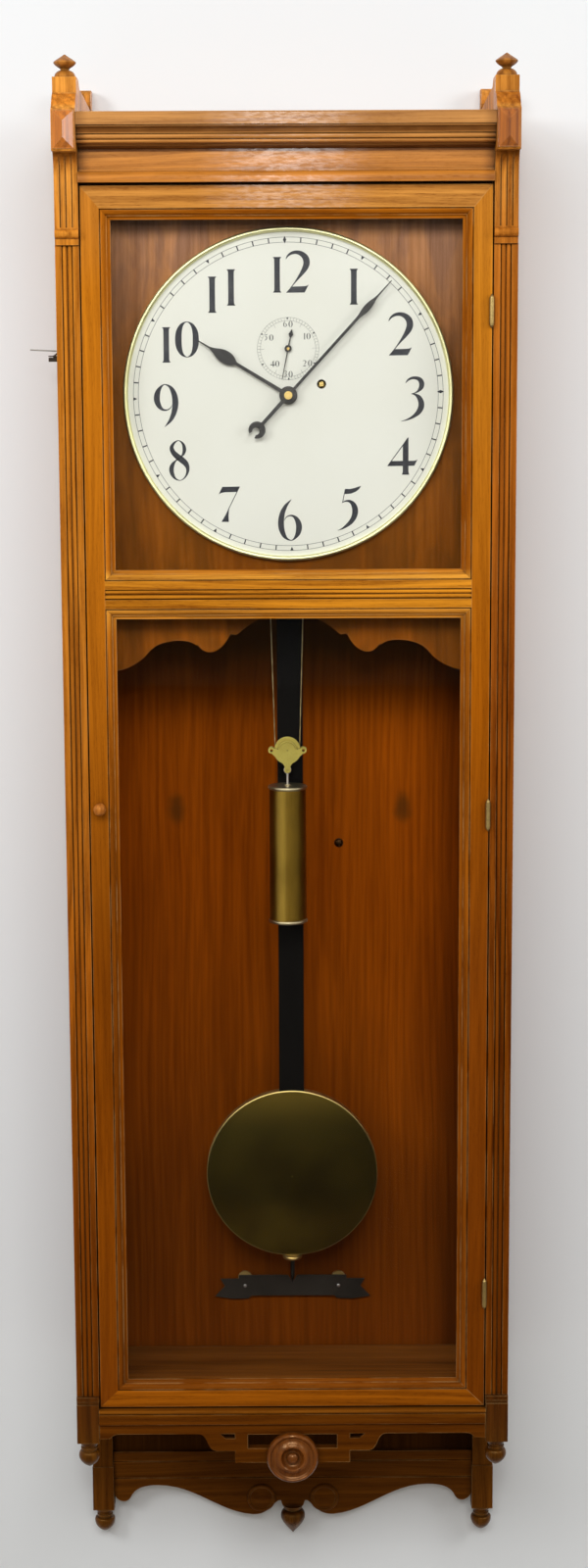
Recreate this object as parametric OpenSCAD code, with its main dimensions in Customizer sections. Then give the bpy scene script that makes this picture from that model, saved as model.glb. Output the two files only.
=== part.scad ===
// A weight-driven wall regulator in an oak case, with a round dial behind the upper pane of a
// long glazed door, and the weight and the seconds pendulum behind the lower pane.
// Lengths are in millimetres. X runs to the right, Y towards the wall and Z up.
// The modules work from the middle of the door's face at the height of the dial's centre.
// place() then moves everything so that the origin is the hanger hole in the back plane.

/* [Case] */
// Depth from the face of the door to the wall
case_depth = 219; // [214:1:226]
// Height of the hanger hole above the centre of the dial
dial_drop = 240; // [225:1:250]
// Half of the width over the pilasters
half_w = 247; // [246.5:0.5:249]
// Width of a pilaster
pilaster_w = 25.8; // [25.4:0.1:26]
// Thickness of the side boards
side_t = 24.8; // [22:0.2:24.8]
// Thickness of the back board
back_t = 16; // [14:1:18]
// Thickness of the door, the pilasters and the frieze
front_t = 22; // [20:1:22]
// Height of the cornice's top above the dial's centre
cornice_top = 295; // [293:1:298]
// Height of the blocks that carry the top finials
block_top = 333; // [329:1:336]
// Level of the case floor below the dial's centre
floor_z = -1152.5; // [-1154:0.5:-1151]
// Lowest level of the back posts
post_bottom = -1363; // [-1370:1:-1358]

/* [Door] */
// Half of the door's width
door_half_w = 219.6; // [219:0.1:219.8]
// Level of the door's top edge
door_top = 221; // [219:0.5:222]
// Level of the door's bottom edge
door_bottom = -1145.5; // [-1146:0.5:-1144]
// Width of the flat part of a stile
stile_w = 20; // [18:0.5:22]
// Width of the inner moulding
moulding_w = 11.5; // [10:0.5:12]
// Middle of the rail between the two panes
mid_rail_z = -214.2; // [-218:0.5:-210]
// Height of the flat part of the middle rail
mid_rail_h = 30.5; // [28:0.5:33]
// Thickness of the glass
glass_t = 3; // [2:0.5:4]
// How far the front pin of the hinges stands before the door's face
hinge_out = 2.9; // [2.8:0.1:3.2]

/* [Dial] */
// Outer radius of the dial's brass ring
bezel_r = 180; // [176:1:182]
// Distance of the printed face behind the door's face
dial_y = 35; // [34:0.5:36]
// Sideways place of the dial, the movement and the pendulum
movement_x = 1; // [0:0.5:2]
// Height of the seconds arbor above the centre arbor
seconds_z = 50; // [48:0.5:52]
// Sideways place of the winding arbor from the centre arbor
winding_x = 36.2; // [35.5:0.1:37]
// Height of the winding arbor above the centre arbor
winding_z = 11.9; // [11:0.1:12.5]

/* [Train] */
// Teeth of the great wheel
great_teeth = 144; // [144]
// Leaves of the centre pinion
centre_leaves = 12; // [12]
// Teeth of the centre wheel
centre_teeth = 80; // [80]
// Leaves of the third pinion
third_leaves = 10; // [10]
// Teeth of the third wheel
third_teeth = 75; // [75]
// Leaves of the escape pinion
escape_leaves = 10; // [10]
// Teeth of the escape wheel
escape_teeth = 30; // [30]
// Radius to the tips of the escape wheel
escape_r = 20; // [19:0.5:21]
// Radius of the winding drum with its cable
drum_r = 13.7; // [13.2:0.1:14.2]

/* [Pendulum] */
// Height of the pendulum's pivot above the dial's centre
pivot_z = 80; // [79:0.5:82]
// Distance of the pendulum's middle plane behind the door's face
pendulum_y = 130; // [129:0.5:131]
// Level of the bob's centre
bob_z = -908; // [-910:0.5:-906]
// Radius of the bob
bob_r = 100.7; // [98:0.1:102]
// Width of the pendulum rod
rod_w = 29.2; // [28:0.1:30]
// Thickness of the pendulum rod
rod_t = 10; // [9:0.5:10.5]

/* [Weight] */
// Sideways place of the weight
weight_x = -2; // [-2.5:0.5:-1.5]
// Distance of the weight's axis behind the door's face
weight_y = 83; // [82:0.5:84]
// Level of the weight's top
weight_top = -437.5; // [-440:0.5:-435]
// Length of the weight
weight_l = 158; // [150:1:160]
// Radius of the weight's tube
weight_r = 20.9; // [20:0.1:21]
// Level of the pulley's centre
pulley_z = -397; // [-400:0.5:-394]
// Radius at which the cable runs round the pulley
pulley_r = 13.8; // [13.4:0.1:14.2]
// Radius of the cable
cable_r = 0.7; // [0.6:0.05:0.8]

/* [Hidden] */
$fn = 64;

oak = "#b4752a";
oak_dark = "#7a4418";
stain = "#6e3210";
brass = "#b99b45";
steel = "#9a9a98";
black = "#1c1a18";

inner_x = half_w - pilaster_w;
side_out = half_w - 1;
side_in = side_out - side_t;
back_y = case_depth - back_t;
stile_in = door_half_w - stile_w;
opening_x = stile_in - moulding_w;
top_rail_z = 197.2;
bottom_rail_z = -1126;
mid_top = mid_rail_z + mid_rail_h / 2;
mid_bottom = mid_rail_z - mid_rail_h / 2;
glass_y = 8;
hinge_x = door_half_w - 0.6;
hinge_levels = [88, -458.5, -1011];
seat_top = -45;
seat_t = 18;

// The train: the module of each mesh follows from the distance of its arbors.
great_m = 2 * norm([winding_x, winding_z]) / (great_teeth + centre_leaves);
centre_m = 0.7;
third_m = 0.6;
third_d = centre_m * (centre_teeth + third_leaves) / 2;
third_e = third_m * (third_teeth + escape_leaves) / 2;
third_z = (third_d * third_d - third_e * third_e + seconds_z * seconds_z) / (2 * seconds_z);
third_x = -sqrt(third_d * third_d - third_z * third_z);
motion_m = 0.5;
motion_x = -motion_m * 40 * cos(45);
motion_z = motion_x;
cannon_teeth = 20;
motion_teeth = 60;
motion_leaves = 16;
hour_teeth = 64;
centre_r = 2;
arbor_r = 1.5;

// The hands show seven and a half minutes past ten.
minute_angle = 42.6;
hour_angle = 301.1;
seconds_angle = 191.5;

// Points of a cubic curve from a to d with the handles b and c.
function curve(a, b, c, d, n = 8) = [for (i = [0 : n]) let (t = i / n, s = 1 - t)
    s * s * s * a + 3 * s * s * t * b + 3 * s * t * t * c + t * t * t * d];
function flip(points) = [for (i = [len(points) - 1 : -1 : 0]) [-points[i][0], points[i][1]]];

module place() translate([0, -case_depth, -dial_drop]) children();
module block(x0, x1, y0, y1, z0, z1) translate([x0, y0, z0]) cube([x1 - x0, y1 - y0, z1 - z0]);
// Outlines drawn in YZ and run along X, or drawn in XZ and run along Y, each as a solid of its own.
module along_x(x0, x1) translate([x0, 0, 0]) rotate([90, 0, 90])
    for (i = [0 : $children - 1]) linear_extrude(x1 - x0) children(i);
module along_y(y0, y1) translate([0, y1, 0]) rotate([90, 0, 0])
    for (i = [0 : $children - 1]) linear_extrude(y1 - y0) children(i);
module disc(x, z, r, y0, y1) translate([x, y1, z]) rotate([90, 0, 0]) cylinder(r = r, h = y1 - y0);
module turned_y(x, z, y) translate([x, y, z]) rotate([90, 0, 0]) rotate_extrude() children();
module both_sides() {
    children();
    mirror([1, 0, 0]) children();
}
// A straight rod between two points of the XZ plane at the depth y.
module rod_between(a, b, r, y) {
    d = b - a;
    translate([a[0], y, a[1]]) rotate([0, 90 - atan2(d[1], d[0]), 0]) cylinder(r = r, h = norm(d));
}

// The carcass.
scroll_r = 11.8;
scroll_y = case_depth - 15.5;
scroll_top = 342;
side_bottom = -1177;
side_outline = concat(
    [[front_t, side_bottom], [front_t, block_top]],
    curve([front_t + 4, block_top], [front_t + 12, block_top - 2], [34, 325.4], [44, 324.6]),
    curve([44, 324.6], [90, 323.4], [150, 320], [scroll_y - 18, 318.6]),
    [for (a = [250 : -20 : 110]) [scroll_y + scroll_r * cos(a), scroll_top - scroll_r + scroll_r * sin(a)]],
    [[scroll_y, scroll_top], [case_depth, scroll_top], [case_depth, side_bottom]]);

module side_board() color(oak) along_x(side_in, side_out) polygon(side_outline);
module left_side() mirror([1, 0, 0]) side_board();
module right_side() side_board();

hanger_hole_r = 5;
hanger_w = 26;
hanger_h = 66;
hanger_t = 3;
screw_head_r = 11;
board_screw = [58.3, -526];
back_bottom = -1289;

module back_board() color(stain) difference() {
    union() {
        block(-side_in, side_in, back_y, case_depth, side_bottom, cornice_top - 12);
        block(-inner_x, inner_x, back_y, case_depth, back_bottom, side_bottom);
    }
    block(-hanger_w / 2 - 0.1, hanger_w / 2 + 0.1, case_depth - hanger_t, case_depth + 1,
        dial_drop - hanger_h / 2 - 0.1, dial_drop + hanger_h / 2 + 0.1);
    disc(0, dial_drop, screw_head_r, back_y - 1, case_depth);
    for (s = [-1, 1]) disc(0, dial_drop + s * 24, 1.3, back_y + 3, case_depth);
    disc(board_screw[0], board_screw[1], 2.2, back_y - 1, case_depth - 2);
    for (x = beat_screws) disc(movement_x + x, beat_screw_z, 1.7, back_y - 1, case_depth - 2);
}

module top_board() color(oak) block(-side_in, side_in, front_t, back_y, cornice_top - 12, cornice_top);

module bottom_board() color(oak_dark) {
    block(-side_in, side_in, front_t, back_y, floor_z - 12, floor_z);
    block(-inner_x, inner_x, 6, front_t, floor_z - 12, floor_z);
}

// The cornice: a fascia over a bead, a cove and two reeds, between the consoles.
cap_y = -26;
cornice_half = inner_x - 0.2;
reed_z = 263.4;
module cornice() color(oak) along_x(-cornice_half, cornice_half) {
    polygon(concat(
        [[front_t, 283], [0, 283], [0, 258.5]],
        curve([0, 258.5], [-3, 258.7], [-5, 260], [-6, reed_z], 5),
        [[-15.4, reed_z], [-15.4, 273]],
        curve([-18.4, 273], [-18.8, 276], [-20.5, 278.6], [-23, 279.2], 6),
        [[-23, 281.4], [cap_y, 281.4], [cap_y, cornice_top - 1.5], [cap_y + 1.5, cornice_top],
            [front_t, cornice_top]]));
    translate([-23, 280.3]) circle(1.2);
    translate([-15.4, reed_z + 1.9]) circle(1.8);
    translate([-15.4, 270.2]) circle(2.9);
}

// The frieze board with the ovolo that shades the door's top edge.
module frieze() color(oak) {
    block(-cornice_half, cornice_half, 0, front_t, 223.8, 283);
    along_x(-cornice_half, cornice_half) polygon(concat(
        [[1, 237.5], [-2, 237.5], [-2, 235.4]],
        curve([-3, 235.4], [-7.5, 235], [-8.4, 229], [-8.4, 226]),
        [[-8.4, 223.8], [1, 223.8]]));
}

// A console: the block of the finial, an ogee, the boss block, a fluted cove and a roll.
console_in = inner_x;
console_out = inner_x + 25.4;
boss_top = 297;
boss_bottom = 254.6;
boss_y = -27;
shaft_y = -4;
roll_top = 175.6;
roll_bottom = 165.8;
console_bottom = 159;
flute_depth = 1.8;
cove = curve([-13, boss_bottom], [-7, 248], [shaft_y, 240], [shaft_y, 226]);
console_outline = concat(
    [[front_t, block_top], [-2, block_top], [-2, 316.5], [-3.5, 316.5]],
    curve([-3.5, 315.5], [-15, 313], [-18, 300], [boss_y, boss_top]),
    [[boss_y, boss_bottom + 2], [boss_y + 2, boss_bottom]],
    cove,
    [[shaft_y, roll_top], [-3, roll_top], [-3, console_bottom], [front_t, console_bottom]]);
flute_outline = concat(
    [[-14, boss_bottom - 2], [-14 + flute_depth, boss_bottom - 2]],
    [for (p = cove) [p[0] + flute_depth, p[1] - 2]],
    [[shaft_y + flute_depth, roll_top + 1.5], [shaft_y - 4, roll_top + 1.5]],
    [[shaft_y - 4, 230]]);
boss_x = 10.4;
boss_z = 18.8;
boss_ridge = 8.4;
boss_h = 8;

module boss() translate([(console_in + console_out) / 2, boss_y, (boss_top + boss_bottom) / 2 + 0.6]) {
    translate([-boss_x - 0.7, -1, -boss_z - 0.7]) cube([2 * boss_x + 1.4, 1, 2 * boss_z + 1.4]);
    intersection() {
        translate([0, -1, -boss_z]) linear_extrude(2 * boss_z)
            polygon([[-boss_x, 0], [boss_x, 0], [0, -boss_h]]);
        translate([0, -1, 0]) along_x(-boss_x, boss_x)
            polygon([[0, -boss_z], [0, boss_z], [-boss_h, boss_ridge], [-boss_h, -boss_ridge]]);
    }
}

module consoles() color(oak) both_sides() {
    difference() {
        along_x(console_in, console_out) {
            polygon(console_outline);
            translate([-3, (roll_top + roll_bottom) / 2]) circle((roll_top - roll_bottom) / 2);
        }
        for (i = [1 : 3]) along_x(console_in + i * 6.35 - 0.7, console_in + i * 6.35 + 0.7) polygon(flute_outline);
    }
    boss();
}

// The pilasters: two beads sunk between two flats.
pilaster_bottom = -1133;
flat_w = 6.9;
bead_r = 2.7;
module pilasters() color(oak) both_sides() translate([0, 0, pilaster_bottom])
    linear_extrude(console_bottom - pilaster_bottom) {
        difference() {
            translate([inner_x, 0]) square([pilaster_w, front_t]);
            translate([inner_x + flat_w, -1]) square([pilaster_w - 2 * flat_w, 4]);
        }
        for (s = [-1, 1]) translate([inner_x + pilaster_w / 2 + s * (bead_r + 0.25), 3.1]) circle(bead_r);
    }

block_bottom = -1188.4;
module corner_blocks() color(oak_dark) both_sides() {
    block(inner_x + 0.4, half_w, -4, front_t, block_bottom, -1142);
    block(inner_x + 0.2, half_w, -2.5, front_t, -1142, -1138.6);
    block(inner_x, half_w, -3.5, front_t, -1138.6, pilaster_bottom);
}

// Turned finials on the blocks of the consoles.
finial_y = 11;
module top_finials() color(oak) both_sides()
    translate([(console_in + console_out) / 2, finial_y, block_top]) rotate_extrude() polygon(concat(
        [[0, 0], [11.3, 0], [11.3, 0.8]],
        curve([11.3, 0.8], [11, 4.4], [8.8, 7], [5, 7.6], 6),
        curve([4.6, 8.2], [4.6, 10.4], [9.6, 11], [12, 15.2], 7),
        curve([12, 16], [10.8, 17.8], [5, 20.8], [1, 23.8], 7),
        [[0, 24.2]]));

// Turned drops under the corner blocks and the back posts: a cove, a collar and a blunt ball.
module drop(r, neck, h, ball) rotate_extrude() polygon(concat(
    [[0, 0], [r, 0]],
    curve([r, -0.6], [r - 1, -0.1 * h], [neck + 0.4, -0.16 * h], [neck, -0.25 * h], 6),
    [[neck + 1, -0.26 * h], [neck + 1, -0.33 * h], [neck, -0.36 * h]],
    curve([neck, -0.38 * h], [0.9 * r, -0.4 * h], [r, ball + 4], [r, ball], 6),
    curve([r, ball], [0.98 * r, -0.76 * h], [0.5 * r, -0.92 * h], [2, -0.985 * h], 8),
    [[0, -h]]));
// The heart under the middle of the back apron.
module heart(r, neck, h) rotate_extrude() polygon(concat(
    [[0, 0], [0.8 * r, 0], [0.76 * r, -3.4], [neck, -4.4], [neck, -5.6]],
    curve([neck + 0.6, -5.8], [0.9 * r, -6.4], [r, -9.6], [r, -13.6], 6),
    curve([r, -13.6], [r, -21], [0.4 * r, -29], [0, -h], 8)));
drop_x = half_w - 12.8;
post_drop_x = half_w - 13.6;
centre_block_bottom = -1360.5;
module drop_finials() color(oak_dark) {
    both_sides() {
        translate([drop_x, 9, block_bottom]) drop(12.2, 8.7, 32, -18.8);
        translate([post_drop_x, case_depth - 12.8, post_bottom]) drop(12.5, 8.6, 31, -16.2);
    }
    translate([0, case_depth - 15.5, centre_block_bottom]) heart(14.9, 8.9, 36.3);
}

module base_moulding() color(oak_dark) along_x(-inner_x, inner_x) {
    polygon([[6, -1165.6], [-6, -1165.6], [-7, -1164.6], [-7, -1152.8], [-6, -1152.2], [-6, -1147.4], [6, -1147.4]]);
    translate([-6.2, -1149.7]) circle(2.3);
}

// The front apron: a strip with ogee ends and a fret on each side of the rosette.
rosette_z = -1204.5;
rosette_r = 29.7;
strip_z = -1177.2;
fret_step = -1197.9;
fret_low = -1212.1;
apron_half = concat(
    [[inner_x, -1165.6], [inner_x, -1183], [209, -1182.4]],
    curve([209, -1182.4], [206, -1178.6], [203.5, strip_z], [198, strip_z], 6),
    curve([107, strip_z], [96, -1178.5], [99, -1197], [87.5, fret_step], 8),
    [[66, fret_step], [66, fret_low]]);
module front_apron() color(oak_dark) {
    difference() {
        along_y(-4, 6) polygon(concat(apron_half, flip(apron_half)));
        both_sides() along_y(-5, 7) {
            polygon([[83, strip_z], [66, strip_z], [66, -1182.8], [77, -1182.8]]);
            polygon([[51.2, strip_z - 0.8], [51.2, -1194.9], [8, -1194.9], [8, strip_z - 0.8]]);
        }
    }
    disc(0, rosette_z, rosette_r - 3, -4, 6);
}

// The turned rosette on the apron: a rim, a dish, an inner ring and a button.
module rosette() color(oak_dark) turned_y(0, rosette_z, -4) polygon(concat(
    [[0, 0], [rosette_r, 0], [rosette_r, 3]],
    curve([rosette_r, 3], [29.4, 8], [25.6, 9.4], [24.6, 6], 7),
    [[23.4, 5.2]],
    curve([22.6, 5.4], [19, 5.4], [17.4, 8.6], [14.8, 9.4], 6),
    curve([13.8, 9.4], [12, 8], [11, 4.2], [7.6, 4], 6),
    curve([7, 4.6], [7, 8.6], [3.6, 10.4], [0, 10.6], 6)));

// The posts behind, which carry the back apron below the case.
post_step = -1307;
module back_posts() color(oak_dark) both_sides() {
    block(inner_x, half_w, case_depth - 24, case_depth, post_bottom, post_step);
    block(inner_x + 0.6, half_w - 1, case_depth - 22.5, case_depth, post_step, side_bottom);
}

apron_y = case_depth - 19;
apron_edge = concat(
    [[inner_x, -1343]],
    curve([inner_x, -1343], [219, -1353], [207, -1358], [201, -1349], 8),
    curve([201, -1349], [196, -1336], [184, -1332.5], [166, -1332.6], 8),
    curve([166, -1332.6], [120, -1333], [92, -1368], [50, -1371.4], 12),
    curve([50, -1371.4], [34, -1372], [30, -1364], [20.5, -1355.4], 8),
    [[18, -1353.4], [15, -1353.2], [12.4, centre_block_bottom]]);
module back_apron() color(oak_dark) difference() {
    along_y(apron_y, case_depth) polygon(concat(
        [[inner_x, back_bottom]], apron_edge, flip(apron_edge), [[-inner_x, back_bottom]]));
    for (z = [-1301.5, -1323.3]) along_x(-inner_x - 1, inner_x + 1)
        polygon([[apron_y - 1, z + 1], [apron_y + 1.1, z], [apron_y - 1, z - 1]]);
}

roundel_r = 17.8;
module apron_roundels() color(oak_dark) both_sides() turned_y(39, -1349.5, apron_y) polygon(concat(
    [[0, 0], [roundel_r, 0]],
    curve([roundel_r, 1], [17, 3.4], [14.5, 3.4], [13.6, 1.4], 5),
    curve([12.8, 1.4], [9, 1.6], [6, 3], [0, 3.4], 5)));

// The dial board with its scalloped lower edge, and what it carries.
board_edge = concat(
    [[side_in - 0.5, -304]],
    curve([200, -302.5], [176, -300.5], [161, -290], [153.2, -278.2], 8),
    curve([152, -277.8], [144, -267.5], [111, -263.5], [102.1, -273.2], 10),
    curve([100.6, -272], [94, -285], [76, -285.5], [64.3, -260.6], 8),
    [[57, -261.5]],
    curve([57, -261.5], [48, -253], [30, -238], [0, -237], 8));
board_y = dial_y + 2;
board_t = 10;
module dial_board() color(stain) difference() {
    along_y(board_y, board_y + board_t) polygon(concat(
        [[side_in - 0.5, cornice_top - 14]], board_edge, flip(board_edge), [[-side_in + 0.5, cornice_top - 14]]));
    disc(movement_x, 0, 9, board_y - 1, board_y + board_t + 1);
    disc(movement_x, seconds_z, 4, board_y - 1, board_y + board_t + 1);
    disc(movement_x + winding_x, winding_z, 7, board_y - 1, board_y + board_t + 1);
}

bezel_w = 5.4;
winding_hole_r = 5;
module dial() color("white") difference() {
    disc(movement_x, 0, bezel_r - bezel_w, dial_y, board_y);
    disc(movement_x, 0, 6, dial_y - 1, board_y + 1);
    disc(movement_x, seconds_z, 2.4, dial_y - 1, board_y + 1);
    disc(movement_x + winding_x, winding_z, winding_hole_r, dial_y - 1, board_y + 1);
}

module dial_bezel() color(brass) turned_y(movement_x, 0, board_y) {
    translate([bezel_r - bezel_w, 0]) square([bezel_w, 4]);
    translate([bezel_r - bezel_w / 2, 4]) circle(bezel_w / 2);
}

// Battens inside the sides: the upright ones hold the dial board and the level ones the seat board.
module case_cleats() color(oak_dark) both_sides() {
    block(side_in - 22, side_in, board_y + board_t, board_y + board_t + 12, -250, 270);
    block(side_in - 14, side_in, 62, 112, seat_top - seat_t - 22, seat_top - seat_t);
}

module hanger_plate() color(steel) difference() {
    block(-hanger_w / 2, hanger_w / 2, case_depth - hanger_t, case_depth,
        dial_drop - hanger_h / 2, dial_drop + hanger_h / 2);
    disc(0, dial_drop, hanger_hole_r, case_depth - hanger_t - 1, case_depth + 1);
    for (s = [-1, 1]) disc(0, dial_drop + s * 24, 2, case_depth - hanger_t - 1, case_depth + 1);
}

// Round-headed and flat wood screws of the back board, the beat plate and the hanger plate.
beat_screws = [-58, 55.8];
beat_screw_z = -1073.5;
beat_y = back_y - 6;
module round_screw(x, z, y, head_r, shank_r, l) {
    turned_y(x, z, y) polygon(concat([[0, -0.01]], curve([head_r, 0], [head_r * 0.95, head_r * 0.5],
        [head_r * 0.5, head_r * 0.62], [0, head_r * 0.62], 6)));
    disc(x, z, shank_r, y, y + l);
}
module wood_screws() color(steel) {
    round_screw(board_screw[0], board_screw[1], back_y, 5.3, 2.1, 13);
    for (x = beat_screws) round_screw(movement_x + x, beat_screw_z, beat_y, 2.2, 1.6, 15);
    for (s = [-1, 1]) {
        disc(0, dial_drop + s * 24, 1.2, case_depth - 12, case_depth - 1);
        disc(0, dial_drop + s * 24, 1.9, case_depth - hanger_t + 0.1, case_depth - 0.3);
    }
}

// The beat plate: a ribbon with forked ends behind it, and a notch under the pendulum's point.
beat_top = -1060.5;
beat_bottom = -1086;
ribbon_t = 2;
fork_t = 1.2;
module beat_plate() color(black) translate([movement_x, 0, 0]) difference() {
    union() {
        along_y(beat_y, beat_y + ribbon_t) polygon([[-65.5, beat_top], [-5.4, beat_top], [0, beat_top - 9.4],
            [5.4, beat_top], [65.5, beat_top], [65.5, beat_bottom], [-65.5, beat_bottom]]);
        both_sides() along_y(beat_y + ribbon_t, beat_y + ribbon_t + fork_t) polygon([[50, -1065.5], [88, -1065.5],
            [82.5, -1075], [94.6, -1087.6], [73, -1091], [54, -1090.5], [50, beat_bottom]]);
    }
    for (x = beat_screws) disc(x, beat_screw_z, 1.7, beat_y - 1, back_y);
}

// The round brass studs between the beat plate and the back board.
stud_z = -1064.6;
module beat_studs() color(brass) difference() {
    for (x = beat_screws) disc(movement_x + x, stud_z, 8.4, beat_y + ribbon_t + fork_t, back_y);
    for (x = beat_screws) disc(movement_x + x, beat_screw_z, 1.7, beat_y, back_y + 1);
}

// Ironwork on the left side: a short bracket on a plate, with a thin pin above it.
side_pin_z = 50.9;
side_pin_slope = 2.7;
lug_top = 42.4;
module side_bracket() color(black) translate([-side_out, 100, 0]) {
    block(-1.5, 0, -8, 8, 34, 56);
    block(-19, -1.5, -5, 5, lug_top - 4.6, lug_top);
    block(-14, -8, -3, 3, lug_top, lug_top + 0.8);
    block(-19, -1.5, -6, 6, lug_top + 0.8, lug_top + 2);
    along_y(-1, 1) polygon([[-1.5, 54.2], [-1.5, 51.6], [-11.4, lug_top + 2], [-14.2, lug_top + 2]]);
    translate([-39.7, 0, side_pin_z]) rotate([0, 90 + side_pin_slope, 0]) cylinder(r = 0.8, h = 39.2);
}

// The seat board, with a slot for each run of the cable, and the movement that stands on it.
plate_half_w = 76;
plate_top = 98;
front_plate_y = 60;
back_plate_y = 105;
module seat_board() color(oak_dark) difference() {
    block(-side_in, side_in, front_plate_y - 0.8, 114, seat_top - seat_t, seat_top);
    for (x = [-24, 18]) block(x - 7, x + 7, weight_y - 5, weight_y + 5, seat_top - seat_t - 1, seat_top + 1);
}
module plate_holes(y0, y1) {
    disc(movement_x, 0, centre_r + 0.05, y0, y1);
    disc(movement_x + third_x, third_z, arbor_r + 0.05, y0, y1);
    disc(movement_x, seconds_z, arbor_r + 0.05, y0, y1);
    disc(movement_x, pivot_z, arbor_r + 0.05, y0, y1);
    disc(movement_x + winding_x, winding_z, 3.05, y0, y1);
}
pillar_r = 4;
module movement_frame() color(brass) {
    difference() {
        block(-plate_half_w, plate_half_w, front_plate_y, front_plate_y + 3, seat_top, plate_top);
        plate_holes(front_plate_y - 1, front_plate_y + 4);
    }
    difference() {
        block(-plate_half_w, plate_half_w, back_plate_y, back_plate_y + 3, seat_top, plate_top);
        plate_holes(back_plate_y - 1, back_plate_y + 4);
    }
    for (x = [-68, 68], z = [-34, 86]) disc(x, z, pillar_r, front_plate_y + 3, back_plate_y);
    disc(movement_x + motion_x, motion_z, 0.95, front_plate_y - 9.5, front_plate_y + 2);
    // The stud that holds the fixed end of the cable, level with the drum.
    disc(cable_stud[0], cable_stud[1], 2.5, weight_y - 3, back_plate_y);
}
cable_stud = [-27.6, winding_z + 2.5];

// The cock on the back plate: two ears carry the pin of the suspension.
pin_r = 1.5;
module suspension_cock() color(brass) difference() {
    union() {
        block(movement_x - 12, movement_x + 12, back_plate_y + 3, back_plate_y + 7, 86, 98);
        block(movement_x - 12, movement_x + 12, back_plate_y + 3, pendulum_y + 13, 90, 98);
        for (y = [pendulum_y - 12, pendulum_y + 8]) block(movement_x - 7, movement_x + 7, y, y + 4, 74, 90);
    }
    disc(movement_x, pivot_z, pin_r + 0.05, pendulum_y - 13, pendulum_y + 14);
}

// The cable: from its stud down round the pulley and up to the drum.
pulley_left = weight_x - pulley_r;
pulley_right = weight_x + pulley_r;
drum_x = movement_x + winding_x - drum_r;
module weight_cable() color("#8a7a4a") {
    rod_between([pulley_left, pulley_z], [cable_stud[0], winding_z], cable_r, weight_y);
    rod_between([pulley_right, pulley_z], [drum_x, winding_z], cable_r, weight_y);
    intersection() {
        translate([weight_x, weight_y, pulley_z]) rotate([90, 0, 0]) rotate_extrude()
            translate([pulley_r, 0]) circle(cable_r, $fn = 24);
        block(weight_x - 20, weight_x + 20, weight_y - 3, weight_y + 3, pulley_z - 20, pulley_z);
    }
}

// Hinges at the right edge of the door, with pointed tips.
knuckle_r = 2.7;
hinge_h = 27;
knuckle_h = hinge_h / 3;
leaf_t = 0.7;
leaf_y = 18;
module knuckles(x, list) {
    block(x, x + leaf_t, 0.1, leaf_y, -hinge_h / 2, hinge_h / 2);
    for (i = list) translate([0, -hinge_out, i * knuckle_h + 0.1]) {
        translate([hinge_x, 0, -knuckle_h / 2]) cylinder(r = knuckle_r, h = knuckle_h - 0.2);
        block(x, x + leaf_t, 0, hinge_out + 0.2, -knuckle_h / 2, knuckle_h / 2 - 0.2);
    }
}
case_leaf_x = inner_x - leaf_t;
door_leaf_x = door_half_w;
hinge_pin_r = 1.1;
module hinge_tip() rotate_extrude() polygon(concat([[0, 0], [2.3, 0]],
    curve([2.3, 0.8], [2.6, 2.4], [1, 3.4], [0, 5.2], 5)));
module case_hinges() color(brass) for (z = hinge_levels) translate([0, 0, z]) {
    knuckles(case_leaf_x, [-1, 1]);
    translate([hinge_x, -hinge_out, -hinge_h / 2]) cylinder(r = hinge_pin_r, h = hinge_h);
    translate([hinge_x, -hinge_out, hinge_h / 2 - 0.2]) hinge_tip();
    translate([hinge_x, -hinge_out, 0.2 - hinge_h / 2]) mirror([0, 0, 1]) hinge_tip();
}
module door_hinges() color(brass) for (z = hinge_levels) translate([0, 0, z]) difference() {
    knuckles(door_leaf_x, [0]);
    translate([hinge_x, -hinge_out, -hinge_h]) cylinder(r = hinge_pin_r + 0.05, h = 2 * hinge_h);
}

// The door: stiles, three rails, an inner moulding round each pane, the panes and their beads.
// The outer frame is mitred at its corners.
module door_stiles() color(oak) both_sides() along_y(0, front_t) polygon([[stile_in, top_rail_z],
    [door_half_w, door_top], [door_half_w, door_bottom], [stile_in, bottom_rail_z]]);
module top_rail() color(oak) along_y(0, front_t) polygon([[-door_half_w, door_top], [door_half_w, door_top],
    [stile_in, top_rail_z], [-stile_in, top_rail_z]]);
module bottom_rail() color(oak) along_y(0, front_t) polygon([[-door_half_w, door_bottom],
    [-stile_in, bottom_rail_z], [stile_in, bottom_rail_z], [door_half_w, door_bottom]]);
rail_bead_r = 2.35;
module middle_rail() color(oak) along_x(-stile_in, stile_in) {
    difference() {
        translate([0, mid_bottom]) square([front_t, mid_rail_h]);
        translate([-1, mid_rail_z - 5.4]) square([4, 11.4]);
    }
    for (s = [-1, 1]) translate([2.9, mid_rail_z + 0.3 + s * (rail_bead_r + 0.3)]) circle(rail_bead_r);
}

// One side of a mitred frame that runs along X below the origin, with its outer edge at z = 0.
module mitred(half_l, w, y0, y1) intersection() {
    along_x(-half_l, half_l) children();
    along_y(y0 - 1, y1 + 1) polygon([[-half_l, 0], [half_l, 0], [half_l - w, -w], [w - half_l, -w]]);
}
hair = 0.06;
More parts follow.
